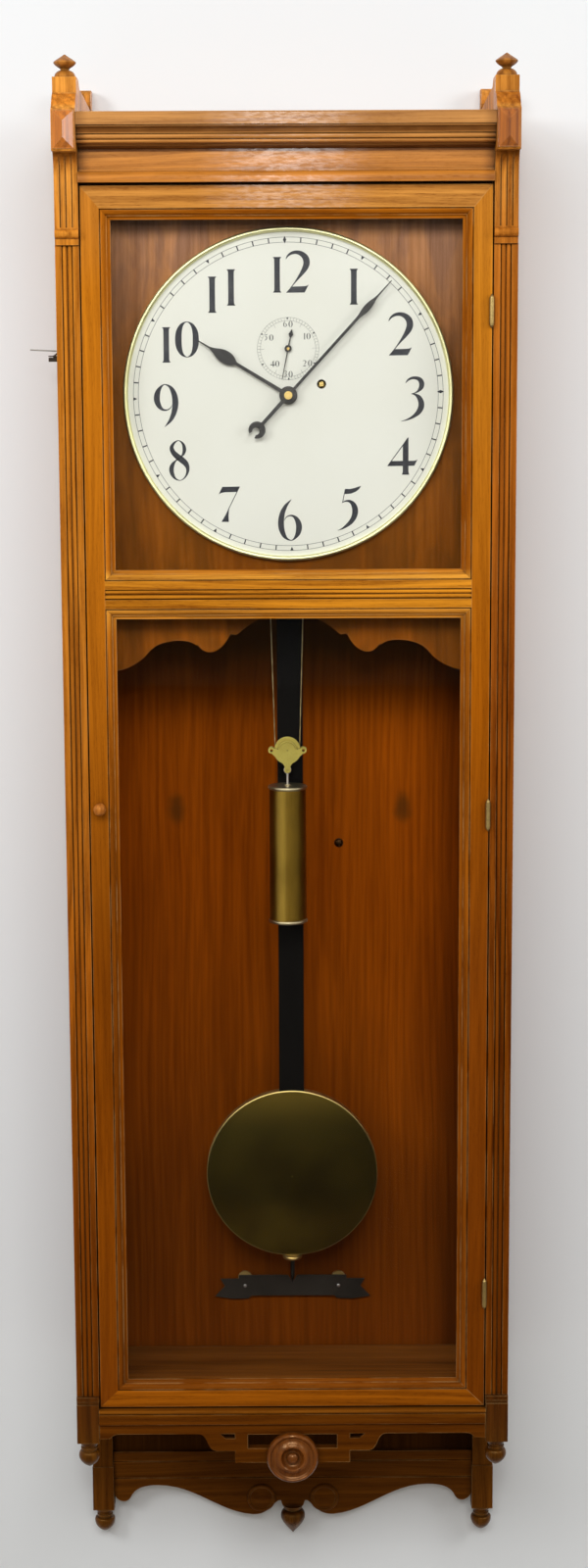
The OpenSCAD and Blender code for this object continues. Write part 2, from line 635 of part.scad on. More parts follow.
// Four mitred strips inside a rectangle from -half_x to half_x and from z0 to z1.
module frame_of(half_x, z0, z1, w, y0, y1) {
    half_z = (z1 - z0) / 2;
    translate([0, 0, (z0 + z1) / 2]) for (s = [0, 1]) {
        rotate([0, 180 * s, 0]) translate([0, 0, half_z]) mitred(half_x - hair, w, y0, y1) children();
        rotate([0, 90 + 180 * s, 0]) translate([0, 0, half_x]) mitred(half_z - hair, w, y0, y1) children();
    }
}
moulding_outline = concat(
    [[glass_y, 0], [1.4, 0], [1.4, -0.9], [0.3, -1.3]],
    curve([0.3, -2.2], [0.3, -5.2], [2.6, -6.4], [4, -6.8], 6),
    [[4, -7.8]],
    curve([4.4, -7.8], [6.4, -8.2], [6.6, -9.6], [6.6, -moulding_w], 5),
    [[glass_y, -moulding_w]]);
module door_mouldings() color(oak) {
    frame_of(stile_in, mid_top, top_rail_z, moulding_w, 0, glass_y) polygon(moulding_outline);
    frame_of(stile_in, bottom_rail_z, mid_bottom, moulding_w, 0, glass_y) polygon(moulding_outline);
}
pane_edge = 6;
module pane(z0, z1) block(pane_edge - stile_in, stile_in - pane_edge, glass_y, glass_y + glass_t, z0 + pane_edge, z1 - pane_edge);
module door_glass() color("lightblue", 0.4) {
    pane(mid_top, top_rail_z);
    pane(bottom_rail_z, mid_bottom);
}
bead_y = glass_y + glass_t;
glass_bead_outline = concat([[bead_y, 0], [bead_y, -9], [bead_y + 2, -9]], curve([bead_y + 2, -9], [bead_y + 5, -8.4],
    [bead_y + 7, -5], [bead_y + 7, 0], 5));
module glass_beads() color(oak_dark) {
    frame_of(stile_in, mid_top, top_rail_z, 9, bead_y, bead_y + 7) polygon(glass_bead_outline);
    frame_of(stile_in, bottom_rail_z, mid_bottom, 9, bead_y, bead_y + 7) polygon(glass_bead_outline);
}

knob_x = -208.5;
knob_z = -449;
module door_knob() color(oak_dark) turned_y(knob_x, knob_z, 0) polygon(concat(
    [[0, 0], [5.4, 0], [5.4, 1.6], [3.6, 3]],
    curve([3.6, 4], [4.4, 5.8], [6.9, 7.6], [6.9, 11], 7),
    curve([6.9, 11], [6.9, 15], [4.4, 17.6], [0, 17.8], 7)));

// The pendulum: a flat wooden rod on a spring, with a lens-shaped bob that rests on its nut.
rod_top = 58;
rod_bottom = -984;
slot_clear = 0.15;
screw_r = 2.5;
module pendulum_rod() color(black) translate([movement_x, 0, 0]) difference() {
    block(-rod_w / 2, rod_w / 2, pendulum_y - rod_t / 2, pendulum_y + rod_t / 2, rod_bottom, rod_top);
    block(-2.2, 2.2, pendulum_y - rod_t / 2 - 1, pendulum_y - rod_t / 2 + 5, -12, 4);
    block(-8, 8, pendulum_y - 1.5, pendulum_y + 1.5, rod_top - 14, rod_top + 1);
    translate([0, pendulum_y, rod_bottom - 1]) cylinder(r = screw_r, h = 21);
}
pointer_tip = -1045;
module rating_screw() color(steel) translate([movement_x, pendulum_y, 0]) {
    translate([0, 0, -1036]) cylinder(r = screw_r, h = rod_bottom + 20 + 1036);
    translate([0, 0, pointer_tip]) cylinder(r1 = 0.4, r2 = screw_r, h = -1036 - pointer_tip);
}

band_t = 14;
lens_h = 8;
bob_bottom = bob_z - bob_r;
nut_top = bob_bottom - 0.2;
lens = concat([[bob_r - 1.2, band_t / 2]], curve([bob_r - 1.2, band_t / 2], [bob_r * 0.72, band_t / 2 + lens_h * 0.62],
    [bob_r * 0.36, band_t / 2 + lens_h], [0, band_t / 2 + lens_h], 14));
module pendulum_bob() color("#6d5c2c") translate([movement_x, 0, 0]) difference() {
    turned_y(0, bob_z, pendulum_y) polygon(concat([[bob_r, -band_t / 2 + 0.6], [bob_r, band_t / 2 - 0.6]], lens,
        [for (i = [len(lens) - 1 : -1 : 0]) [lens[i][0], -lens[i][1]]]));
    block(-rod_w / 2 - slot_clear, rod_w / 2 + slot_clear, pendulum_y - rod_t / 2 - slot_clear,
        pendulum_y + rod_t / 2 + slot_clear, rod_bottom - 10, bob_z + bob_r + 1);
    translate([0, pendulum_y, bob_bottom - 1]) cylinder(r = screw_r + 0.2, h = 40);
}

nut_h = 7;
module rating_nut() color(brass) translate([movement_x, pendulum_y, nut_top - nut_h]) difference() {
    rotate_extrude() polygon(concat([[0, 0], [6, 0], [6, 1.2], [10, 1.6]],
        curve([11, 2.4], [11.6, 3.4], [11.6, 4.6], [11, 5.6], 4), [[8, nut_h - 0.6], [6, nut_h], [0, nut_h]]));
    translate([0, 0, -1]) cylinder(r = screw_r + 0.05, h = nut_h + 2);
}

// The suspension: a pin through the top block, a thin spring and a lower block let into the rod.
module suspension_spring() color(steel) translate([movement_x, 0, 0]) {
    disc(0, pivot_z, pin_r, pendulum_y - 12, pendulum_y + 12);
    block(-3, 3, pendulum_y - 7.8, pendulum_y + 7.8, pivot_z - 5, pivot_z + 5);
    block(-0.15, 0.15, pendulum_y - 5, pendulum_y + 5, rod_top + 1, pivot_z - 5);
    block(-8, 8, pendulum_y - 1.5, pendulum_y + 1.5, rod_top - 14, rod_top + 4);
}

// Wheels of the movement. A tooth is a trapezium on the root circle.
function tooth_gap(teeth, m, thick) = [for (i = [0 : teeth - 1]) for (k = [0 : 3])
    let (root = m * (teeth / 2 - 1.2), tip = m * (teeth / 2 + 0.85), w = thick * 90 / teeth,
        a = 360 * i / teeth + [-1.35, -0.55, 0.55, 1.35][k] * w, r = [root, tip, tip, root][k])
    [r * sin(a), r * cos(a)]];
function arc(r, a, b, n = 8) = [for (i = [0 : n]) r * [sin(a + (b - a) * i / n), cos(a + (b - a) * i / n)]];
module gear(x, z, teeth, m, phase, y0, y1, hub, thick = 0.8) translate([x, 0, z]) along_y(y0, y1) difference() {
    rotate(-phase) polygon(tooth_gap(teeth, m, thick));
    circle(hub);
    // A large wheel is crossed out: five spokes between its boss and its rim.
    if (teeth > 50) for (i = [0 : 4]) rotate(72 * i)
        polygon(concat(arc(m * teeth * 0.42, -29, 29), arc(m * teeth * 0.2 + 1.5, 22, -22)));
}
// The bearing, clockwise from the top, of the point b seen from a.
function bearing(a, b) = atan2(b[0] - a[0], b[1] - a[1]);
// A phase that puts a gap of the second wheel where the first has a tooth, towards each other.
function gap_phase(teeth, to_first) = to_first + 180 / teeth;

centre_pt = [movement_x, 0];
winding_pt = [movement_x + winding_x, winding_z];
third_pt = [movement_x + third_x, third_z];
escape_pt = [movement_x, seconds_z];
motion_pt = [movement_x + motion_x, motion_z];
pinion_thick = 0.62;

module centre_wheel() color(brass) {
    disc(centre_pt[0], 0, centre_r, 25.5, back_plate_y + 2.9);
    gear(centre_pt[0], 0, centre_teeth, centre_m, bearing(centre_pt, third_pt), 66, 68, centre_r);
    gear(centre_pt[0], 0, centre_leaves, great_m, gap_phase(centre_leaves, bearing(centre_pt, winding_pt)),
        95, 102, 1, pinion_thick);
    gear(centre_pt[0], 0, cannon_teeth, motion_m, bearing(centre_pt, motion_pt), 54.4, 59.6, centre_r, pinion_thick);
    // The nut that holds the minute hand on its square.
    disc(centre_pt[0], 0, 4.4, 24.4, 26.4);
}
module third_wheel() color(brass) {
    disc(third_pt[0], third_pt[1], arbor_r, front_plate_y + 0.1, back_plate_y + 2.9);
    gear(third_pt[0], third_pt[1], third_leaves, centre_m, gap_phase(third_leaves, bearing(third_pt, centre_pt)),
        64.4, 69.6, 1, pinion_thick);
    gear(third_pt[0], third_pt[1], third_teeth, third_m, bearing(third_pt, escape_pt), 74, 75.6, arbor_r);
}
// The escape wheel has slender teeth that lean forwards.
function escape_points() = [for (i = [0 : escape_teeth - 1]) for (k = [0 : 2])
    let (a = 360 * i / escape_teeth + [0, 3.4, 5.2][k], r = escape_r - [0, 4.2, 4.6][k]) [r * sin(a), r * cos(a)]];
module escape_wheel() color(brass) {
    disc(escape_pt[0], escape_pt[1], arbor_r, 32.4, back_plate_y + 2.9);
    gear(escape_pt[0], escape_pt[1], escape_leaves, third_m, gap_phase(escape_leaves, bearing(escape_pt, third_pt)),
        71.4, 78.2, 1, pinion_thick);
    translate([escape_pt[0], 0, escape_pt[1]]) along_y(88, 89.4) difference() {
        polygon(escape_points());
        circle(arbor_r);
        for (i = [0 : 3]) rotate(45 + 90 * i) translate([8, 0]) circle(3.6);
    }
}
module great_wheel() color(brass) {
    gear(winding_pt[0], winding_pt[1], great_teeth, great_m, bearing(winding_pt, centre_pt), 97, 99.5, 3.05);
}
module motion_wheel() color(brass) difference() {
    union() {
        gear(motion_pt[0], motion_pt[1], motion_teeth, motion_m,
            gap_phase(motion_teeth, bearing(motion_pt, centre_pt)), 55, 57, 0.5);
        gear(motion_pt[0], motion_pt[1], motion_leaves, motion_m, bearing(motion_pt, centre_pt),
            50.6, 55, 0.5, pinion_thick);
    }
    disc(motion_pt[0], motion_pt[1], 1, 40, 70);
}
hour_pipe_r = 4.2;
module hour_wheel() color(brass) difference() {
    union() {
        gear(centre_pt[0], 0, hour_teeth, motion_m, gap_phase(hour_teeth, bearing(centre_pt, motion_pt)), 51, 53, 1);
        disc(centre_pt[0], 0, hour_pipe_r, 30, 52);
    }
    disc(centre_pt[0], 0, centre_r + 0.05, 20, 60);
}

// The anchor, with its arbor, and the crutch that guides the rod. The pallets clear the teeth.
pallet_a = 48;
pallet_gap = 1.5;
crutch_y = back_plate_y + 8;
pallet_out = 7;
module anchor() color(steel) translate([movement_x, 0, 0]) {
    disc(0, pivot_z, arbor_r, front_plate_y + 0.1, crutch_y + 3);
    difference() {
        translate([0, 0, seconds_z]) along_y(87.5, 90) intersection() {
            difference() {
                circle(escape_r + pallet_out);
                circle(escape_r + pallet_gap);
            }
            polygon([[0, 0], [-45 * sin(pallet_a + 3), 45 * cos(pallet_a + 3)], [-30, 60], [30, 60],
                [45 * sin(pallet_a + 3), 45 * cos(pallet_a + 3)]]);
        }
        disc(0, pivot_z, arbor_r, 80, 95);
    }
    along_y(87.5, 90) difference() {
        polygon([[-7, seconds_z + escape_r + 3], [-4, pivot_z + 4], [4, pivot_z + 4], [7, seconds_z + escape_r + 3]]);
        translate([0, pivot_z]) circle(arbor_r);
    }
    along_y(crutch_y, crutch_y + 2.5) difference() {
        polygon([[-5, pivot_z + 5], [5, pivot_z + 5], [5, pivot_z - 5], [2, pivot_z - 12], [2, -10], [-2, -10],
            [-2, pivot_z - 12], [-5, pivot_z - 5]]);
        translate([0, pivot_z]) circle(arbor_r);
    }
    disc(0, -5, 1.8, crutch_y + 2, pendulum_y - rod_t / 2 + 3);
}

// The hands are cut from thin sheet. Their outlines point up and are turned to the time.
// The last outline given is cut out of the others.
module hand(angle, x, z, y0, y1) translate([x, y1, z]) rotate([90, angle, 0]) difference() {
    for (i = [0 : $children - 2]) linear_extrude(y1 - y0) children(i);
    translate([0, 0, -1]) linear_extrude(y1 - y0 + 2) children($children - 1);
}
minute_l = 165.6;
minute_w = 1.6;
leaf_z = 126.5;
minute_side = concat([[-minute_w, -5]],
    curve([-minute_w, leaf_z - 18], [-minute_w, leaf_z - 8], [-3.6, leaf_z - 8], [-3.6, leaf_z], 6),
    curve([-3.6, leaf_z], [-3.4, leaf_z + 9], [-1.4, leaf_z + 10], [-0.9, leaf_z + 18], 6),
    [[-0.5, minute_l]]);
module minute_hand() color(black) hand(minute_angle, movement_x, 0, 27, 28.2) {
    circle(8.6);
    polygon(concat(minute_side, flip(minute_side)));
    polygon([[-2.2, 4], [2.2, 4], [1.9, -44], [-1.9, -44]]);
    translate([0, -50.6]) circle(9.3);
    union() {
        circle(centre_r);
        translate([0, -52.6]) circle(3.9);
        polygon([[-2.6, -55], [2.6, -55], [4.6, -63], [-4.6, -63]]);
    }
}
hour_l = 113.4;
spade_z = 80;
spade_w = 7;
spade_side = concat([[-2.1, 4], [-1.7, spade_z - 14]],
    curve([-1.7, spade_z - 14], [-spade_w * 0.6, spade_z - 10], [-spade_w, spade_z - 8], [-spade_w, spade_z], 7),
    curve([-spade_w, spade_z], [-spade_w, spade_z + 8], [-2.4, spade_z + 12], [-1, spade_z + 20], 7),
    [[-0.6, hour_l]]);
module hour_hand() color(black) hand(hour_angle, movement_x, 0, 30.4, 31.8) {
    circle(9.8);
    polygon(concat(spade_side, flip(spade_side)));
    circle(hour_pipe_r);
}
module seconds_hand() color(black) hand(seconds_angle, movement_x, seconds_z, 33, 33.8) {
    circle(3.9);
    polygon([[-0.7, 2], [-0.35, 33.4], [0.35, 33.4], [0.7, 2]]);
    polygon([[-0.8, -2], [0.8, -2], [0.6, -12], [2.6, -15.6], [0, -21.4], [-2.6, -15.6], [-0.6, -12]]);
    circle(arbor_r);
}

// The winding arbor with its drum and its square end behind the winding hole.
drum_flange = 17;
square_w = 4.6;
module winding_drum() color(brass) difference() {
    union() {
        disc(winding_pt[0], winding_pt[1], 3, front_plate_y - 8, back_plate_y + 2.9);
        disc(winding_pt[0], winding_pt[1], drum_r - cable_r, 71, 95);
        for (y = [71, 93.4]) disc(winding_pt[0], winding_pt[1], drum_flange, y, y + 1.6);
        translate([winding_pt[0], 0, winding_pt[1]]) along_y(37.5, front_plate_y - 8) square(square_w, center = true);
    }
}

module pulley() color(brass) difference() {
    turned_y(weight_x, pulley_z, weight_y) polygon(concat([[0, -2.4], [pulley_r + 1, -2.4], [pulley_r + 1, -1.9]],
        curve([pulley_r - cable_r + 0.1, -1], [pulley_r - cable_r - 0.15, -0.4], [pulley_r - cable_r - 0.15, 0.4],
            [pulley_r - cable_r + 0.1, 1], 4), [[pulley_r + 1, 1.9], [pulley_r + 1, 2.4], [0, 2.4]]));
    disc(weight_x, pulley_z, 1.55, weight_y - 5, weight_y + 5);
}

// The stirrup of the pulley: two eared plates, tubes and a pin between them, the axle of the sheave.
ear_x = 18;
ear_z = -22.4;
ear_r = 3.6;
eye_r = 1.6;
shell_t = 1.2;
shell_top_r = 10.6;
shell_low_r = 15.6;
neck_side = concat([[0, -8], [-8.4, -12.6]], curve([-8.4, -13], [-4.6, -15], [-3.2, -17], [-3, ear_z + 1], 7));
module shell(y) translate([0, 0, pulley_z]) along_y(y, y + shell_t) {
    circle(shell_top_r);
    intersection() {
        circle(shell_low_r);
        translate([-20, -20]) square([40, 21]);
    }
    polygon(concat(neck_side, flip(neck_side)));
    translate([0, ear_z]) circle(ear_r);
    polygon([[-12, 1.2], [-ear_x, 2.8], [-ear_x, -3.4], [-14, -7]]);
    polygon([[12, 1.2], [ear_x, 2.8], [ear_x, -3.4], [14, -7]]);
    translate([-ear_x, 0]) circle(ear_r);
    translate([ear_x, 0]) circle(ear_r);
}
hook_top = pulley_z + ear_z - 3.9;
shell_y = weight_y - 4.6;
module pulley_bracket() color(brass) translate([weight_x, 0, 0]) {
    difference() {
        union() {
            shell(shell_y);
            shell(weight_y + 3.4);
            for (s = [-1, 1]) disc(s * ear_x, pulley_z, 2.4, shell_y + 0.4, weight_y + 4.2);
        }
        for (s = [-1, 1]) disc(s * ear_x, pulley_z, eye_r, shell_y - 1, weight_y + 6);
        disc(0, pulley_z, 1.1, shell_y - 1, shell_y + 0.8);
        disc(0, pulley_z + ear_z, 1.4, shell_y - 1, shell_y + 0.9);
    }
    // A raised lip along the round top of the front plate.
    intersection() {
        turned_y(0, pulley_z, shell_y) translate([shell_top_r - 0.9, 0]) circle(0.9);
        block(-20, 20, shell_y - 2, shell_y + 1, pulley_z + 1.2, pulley_z + 20);
    }
    disc(0, pulley_z, 1.5, weight_y - 3.4, weight_y + 3.4);
    disc(0, pulley_z + ear_z, 1.6, weight_y - 3.6, weight_y + 5.4);
}

rim_h = 4;
module weight() color(brass) translate([weight_x, weight_y, 0]) {
    translate([0, 0, weight_top - weight_l]) cylinder(r = weight_r, h = weight_l);
    // Caps with rolled edges.
    for (z = [weight_top - rim_h, weight_top - weight_l]) translate([0, 0, z]) rotate_extrude() polygon(concat(
        [[0, 0]], curve([weight_r, 0], [weight_r + 2, 0.2], [weight_r + 2, rim_h - 0.2], [weight_r, rim_h], 8),
        [[0, rim_h]]));
    // The hook in the lid, whose eye hangs on the lowest spacer of the stirrup.
    translate([0, 0, weight_top]) cylinder(r = 1.3, h = hook_top - weight_top + 1.4);
    translate([0, 0, weight_top]) cylinder(r = 3.4, h = 1.6);
    translate([0, 0, pulley_z + ear_z - 0.52]) rotate([90, 0, 0]) rotate_extrude()
        translate([3.2, 0]) circle(1.1, $fn = 24);
}

place() back_board();
place() left_side();
place() right_side();
place() top_board();
place() bottom_board();
place() cornice();
place() frieze();
place() consoles();
place() pilasters();
place() corner_blocks();
place() top_finials();
place() drop_finials();
place() base_moulding();
place() front_apron();
place() rosette();
place() back_posts();
place() back_apron();
place() apron_roundels();
place() dial_board();
place() dial();
place() dial_bezel();
place() case_cleats();
place() hanger_plate();
place() wood_screws();
place() beat_plate();
place() beat_studs();
place() side_bracket();
place() seat_board();
place() movement_frame();
place() suspension_cock();
place() weight_cable();
place() case_hinges();
place() door_stiles();
place() top_rail();
place() middle_rail();
place() bottom_rail();
place() door_mouldings();
place() door_glass();
place() glass_beads();
place() door_knob();
place() door_hinges();
place() pendulum_rod();
place() rating_screw();
place() pendulum_bob();
place() rating_nut();
place() suspension_spring();
place() centre_wheel();
place() third_wheel();
place() escape_wheel();
place() great_wheel();
place() motion_wheel();
place() hour_wheel();
place() anchor();
place() minute_hand();
place() hour_hand();
place() seconds_hand();
place() winding_drum();
place() pulley();
place() pulley_bracket();
place() weight();
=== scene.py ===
import math

import bmesh
import bpy
from mathutils import Matrix, Vector


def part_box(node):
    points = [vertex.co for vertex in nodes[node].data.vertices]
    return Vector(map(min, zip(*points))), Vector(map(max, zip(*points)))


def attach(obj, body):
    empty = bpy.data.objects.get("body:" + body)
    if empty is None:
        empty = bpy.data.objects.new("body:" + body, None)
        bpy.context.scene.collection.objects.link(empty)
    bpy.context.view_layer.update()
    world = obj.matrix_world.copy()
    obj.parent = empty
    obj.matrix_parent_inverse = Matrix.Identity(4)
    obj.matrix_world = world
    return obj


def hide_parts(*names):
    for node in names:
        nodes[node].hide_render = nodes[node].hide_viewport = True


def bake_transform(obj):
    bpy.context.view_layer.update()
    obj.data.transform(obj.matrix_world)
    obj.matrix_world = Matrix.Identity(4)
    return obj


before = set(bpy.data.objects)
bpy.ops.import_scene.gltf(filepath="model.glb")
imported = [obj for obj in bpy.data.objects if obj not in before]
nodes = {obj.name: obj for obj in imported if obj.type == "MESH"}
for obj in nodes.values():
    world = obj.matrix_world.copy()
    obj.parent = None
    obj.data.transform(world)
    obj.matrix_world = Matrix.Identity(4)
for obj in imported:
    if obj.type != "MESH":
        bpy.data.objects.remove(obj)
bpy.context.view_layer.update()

# The camera stands in front of the clock at the height of the dial and looks down a little. The
# origin of everything is the hanger hole in the back plane, 219 mm behind the door's face and
# 240 mm above the dial's centre.
camera_place = Vector((0.0015, -2.9386, -0.2327))
camera_down = math.radians(8.994)
camera_turned = math.radians(0.078)
camera_leans = math.radians(-0.264)
forward = Vector((math.sin(camera_turned) * math.cos(camera_down),
                  math.cos(camera_turned) * math.cos(camera_down), -math.sin(camera_down)))
sideways = forward.cross(Vector((0, 0, 1))).normalized()
upward = sideways.cross(forward)
right = sideways * math.cos(camera_leans) + upward * math.sin(camera_leans)
up = upward * math.cos(camera_leans) - sideways * math.sin(camera_leans)
camera = bpy.data.objects.new("camera", bpy.data.cameras.new("camera"))
bpy.context.scene.collection.objects.link(camera)
camera.matrix_world = Matrix.Translation(camera_place) @ Matrix((right, up, -forward)).transposed().to_4x4()
camera.data.lens = 57.375
camera.data.clip_start = 0.05
bpy.context.scene.camera = camera
bpy.context.scene.view_settings.view_transform = "Standard"


# The wall that the clock hangs on, the floor below it, the lamps high up in front and the even
# light of the room. The wall is see-through from behind and lets lamps through, so that the
# clock's back can be looked at.
def put(tree, kind, values=None, **settings):
    """A shader node. A value that is another node's socket is linked, and any other is set."""
    node = tree.nodes.new("ShaderNode" + kind)
    for key, value in settings.items():
        setattr(node, key, value)
    for key, value in (values or {}).items():
        if isinstance(value, bpy.types.NodeSocket):
            tree.links.new(value, node.inputs[key])
        else:
            node.inputs[key].default_value = value
    return node


def new_material(name):
    material = bpy.data.materials.new(name)
    material.use_nodes = True
    material.node_tree.nodes.clear()
    return material, material.node_tree


def show(tree, shader):
    tree.links.new(shader, tree.nodes.new("ShaderNodeOutputMaterial").inputs["Surface"])


def plane(name, corners, material):
    mesh = bpy.data.meshes.new(name)
    mesh.from_pydata(corners, [], [(0, 1, 2, 3)])
    mesh.materials.append(material)
    made = bpy.data.objects.new(name, mesh)
    bpy.context.scene.collection.objects.link(made)
    return made


wall_paint, tree = new_material("wall_paint")
plaster = put(tree, "TexNoise", {"Scale": 3.0, "Detail": 4.0})
shade = put(tree, "Mix", {0: plaster.outputs["Fac"], 6: (0.79, 0.815, 0.830, 1), 7: (0.82, 0.845, 0.860, 1)},
            data_type="RGBA")
paint = put(tree, "BsdfDiffuse", {"Color": shade.outputs[2]})
clear = put(tree, "BsdfTransparent")
from_behind = put(tree, "NewGeometry").outputs["Backfacing"]
seen = put(tree, "MixShader", {0: from_behind, 1: paint.outputs[0], 2: clear.outputs[0]})
for_shadow = put(tree, "LightPath").outputs["Is Shadow Ray"]
show(tree, put(tree, "MixShader", {0: for_shadow, 1: seen.outputs[0], 2: clear.outputs[0]}).outputs[0])
wall_y, wall_half, wall_top, floor_level = 0.002, 4, 2.6, -1.95
wall = plane("wall", [(-wall_half, wall_y, floor_level), (wall_half, wall_y, floor_level),
                      (wall_half, wall_y, wall_top), (-wall_half, wall_y, wall_top)], wall_paint)

floor_paint, tree = new_material("floor_paint")
mottle = put(tree, "TexNoise", {"Scale": 2.0, "Detail": 3.0})
shade = put(tree, "Mix", {0: mottle.outputs["Fac"], 6: (0.40, 0.36, 0.32, 1), 7: (0.46, 0.42, 0.37, 1)},
            data_type="RGBA")
show(tree, put(tree, "BsdfDiffuse", {"Color": shade.outputs[2]}).outputs[0])
floor_half, floor_front, floor_back = 9, -12, 9
floor = plane("floor", [(-floor_half, floor_front, floor_level), (floor_half, floor_front, floor_level),
                        (floor_half, floor_back, floor_level), (-floor_half, floor_back, floor_level)],
              floor_paint)


def lamp(name, place, aim, wide, high, watts):
    data = bpy.data.lights.new(name, "AREA")
    data.shape = "RECTANGLE"
    data.size, data.size_y, data.energy = wide, high, watts
    made = bpy.data.objects.new(name, data)
    bpy.context.scene.collection.objects.link(made)
    made.location = place
    made.rotation_euler = (Vector(aim) - Vector(place)).to_track_quat("-Z", "Y").to_euler()
    made.visible_camera = made.visible_transmission = False


lamp("high_front_lamp", (-0.1, -3.2, 1.25), (0, 0, -0.5), 2.4, 1.0, 68)
lamp("left_lamp", (-2.1, -2.2, 0.75), (-0.3, 0, -0.6), 0.9, 0.9, 31)
lamp("right_lamp", (2.25, -1.5, 0.55), (-0.1, 0, -0.4), 1.0, 1.1, 20)
lamp("small_high_lamp", (-0.01, -3.2, 0.33), (0, 0, -0.1), 0.24, 0.26, 9)
lamp("back_lamp", (0.4, 2.6, 0.8), (0, 0, -0.8), 1.2, 1.2, 40)
world = bpy.data.worlds.new("room")
world.use_nodes = True
tree = world.node_tree
path = put(tree, "LightPath").outputs
seen = put(tree, "Math", {0: path["Is Camera Ray"], 1: path["Is Glossy Ray"]}, operation="MAXIMUM").outputs[0]
seen = put(tree, "Math", {0: seen, 1: path["Is Transmission Ray"]}, operation="MAXIMUM").outputs[0]
strength = put(tree, "MapRange", {"Value": seen, "To Min": 0.18, "To Max": 0.70}).outputs["Result"]
tree.links.new(strength, tree.nodes["Background"].inputs["Strength"])
tree.nodes["Background"].inputs["Color"].default_value = (1.0, 0.975, 0.94, 1)
bpy.context.scene.world = world


# The back board: wide softwood boards glued up, stained red brown and varnished, but bare behind.
# It closes the case from behind and carries the hanger, the beat plate and a spare screw. Two
# old drips have left dark oval stains on it.
def math_of(tree, operation, a, b=0.0, clamp=False):
    return put(tree, "Math", {0: a, 1: b}, operation=operation, use_clamp=clamp).outputs[0]


def between(tree, value, low, high, to_low=0.0, to_high=1.0):
    return put(tree, "MapRange", {"Value": value, "From Min": low, "From Max": high, "To Min": to_low,
                                  "To Max": to_high}, interpolation_type="SMOOTHSTEP").outputs["Result"]


def mix(tree, share, a, b, mode="MIX"):
    return put(tree, "Mix", {0: share, 6: a, 7: b}, data_type="RGBA", blend_type=mode).outputs[2]


def noise(tree, vector, scale=1.0, detail=2.0, rough=0.5, warp=0.0):
    return put(tree, "TexNoise", {"Vector": vector, "Scale": scale, "Detail": detail, "Roughness": rough,
                                  "Distortion": warp}).outputs["Fac"]


def stretched(tree, vector, x, y, z):
    return put(tree, "VectorMath", {0: vector, 1: (x, y, z)}, operation="MULTIPLY").outputs[0]


def times(tree, a, b, clamp=False):
    return math_of(tree, "MULTIPLY", a, b, clamp)


def band(tree, value, low, full_low, full_high, high):
    """1 between full_low and full_high, fading to 0 at low and at high."""
    return times(tree, between(tree, value, low, full_low), between(tree, value, high, full_high))


def distance(tree, across, along):
    return math_of(tree, "SQRT", math_of(tree, "ADD", times(tree, across, across), times(tree, along, along)))


def object_place(tree):
    return put(tree, "TexCoord").outputs["Object"]


def at_object(tree):
    """X, Y and Z in metres from the hanger hole."""
    return put(tree, "SeparateXYZ", {0: object_place(tree)}).outputs


def effect(name, given, gives):
    """A node group with named inputs and outputs."""
    tree = bpy.data.node_groups.new(name, "ShaderNodeTree")
    for label, kind, value in given:
        socket = tree.interface.new_socket(label, in_out="INPUT", socket_type="NodeSocket" + kind)
        socket.default_value = value
    for label, kind in gives:
        tree.interface.new_socket(label, in_out="OUTPUT", socket_type="NodeSocket" + kind)
    inside, out = tree.nodes.new("NodeGroupInput"), tree.nodes.new("NodeGroupOutput")

    def give(**sockets):
        for label, socket in sockets.items():
            tree.links.new(socket, out.inputs[label])

    return tree, inside.outputs, give


def use(tree, group, **values):
    node = tree.nodes.new("ShaderNodeGroup")
    node.node_tree = group
    for label, value in values.items():
        if isinstance(value, bpy.types.NodeSocket):
            tree.links.new(value, node.inputs[label])
        else:
            node.inputs[label].default_value = value
    return node.outputs


# Wood grain: year rings about a far axis, long streaks, fine fibres and short dark pores, all
# running along Z, or along X where Level is 1. Tone is the wood's mean colour.
white = (1, 1, 1, 1)
asked = [("Level", "Float", 0.0), ("Board", "Float", 0.0), ("Tone", "Color", white),
         ("Contrast", "Float", 1.0), ("Porous", "Float", 0.5), ("Ring", "Float", 0.5)]
gives = [("Color", "Color"), ("Roughness", "Float"), ("Height", "Float")]
grain, given, give = effect("wood_grain", asked, gives)
place = object_place(grain)
parts = put(grain, "SeparateXYZ", {0: place}).outputs
lying = put(grain, "CombineXYZ", {0: parts["Z"], 1: parts["Y"], 2: parts["X"]}).outputs[0]
along = put(grain, "Mix", {0: given["Level"], 4: place, 5: lying}, data_type="VECTOR").outputs[1]
board_shift = {axis: times(grain, given["Board"], far) for axis, far in enumerate((0.083, 0.131, 0.71))}
shift = put(grain, "CombineXYZ", board_shift).outputs[0]
along = put(grain, "VectorMath", {0: along, 1: shift}, operation="ADD").outputs[0]
wander = put(grain, "TexNoise", {"Vector": stretched(grain, along, 5, 5, 1.1), "Scale": 1.0}).outputs["Color"]
bent = put(grain, "VectorMath", {0: along, 1: stretched(grain, wander, 0.05, 0.05, 0.0)},
           operation="ADD").outputs[0]
rings = put(grain, "TexWave", {"Vector": stretched(grain, bent, 1, 1, 0.05), "Scale": 34.0, "Distortion": 2.0,
                               "Detail": 3.0, "Detail Scale": 1.4},
            wave_type="RINGS", rings_direction="Z").outputs["Fac"]
streak = noise(grain, stretched(grain, bent, 240, 240, 5), detail=4, rough=0.6)
broad = noise(grain, stretched(grain, bent, 14, 14, 1.2), detail=3)
fibre = noise(grain, stretched(grain, along, 620, 620, 22), detail=3, rough=0.65)
pore = between(grain, noise(grain, stretched(grain, along, 2100, 2100, 130), detail=2), 0.56, 0.70)
pore = times(grain, pore, between(grain, streak, 0.62, 0.4, 0.2, 1.0))
pore = times(grain, pore, given["Porous"])
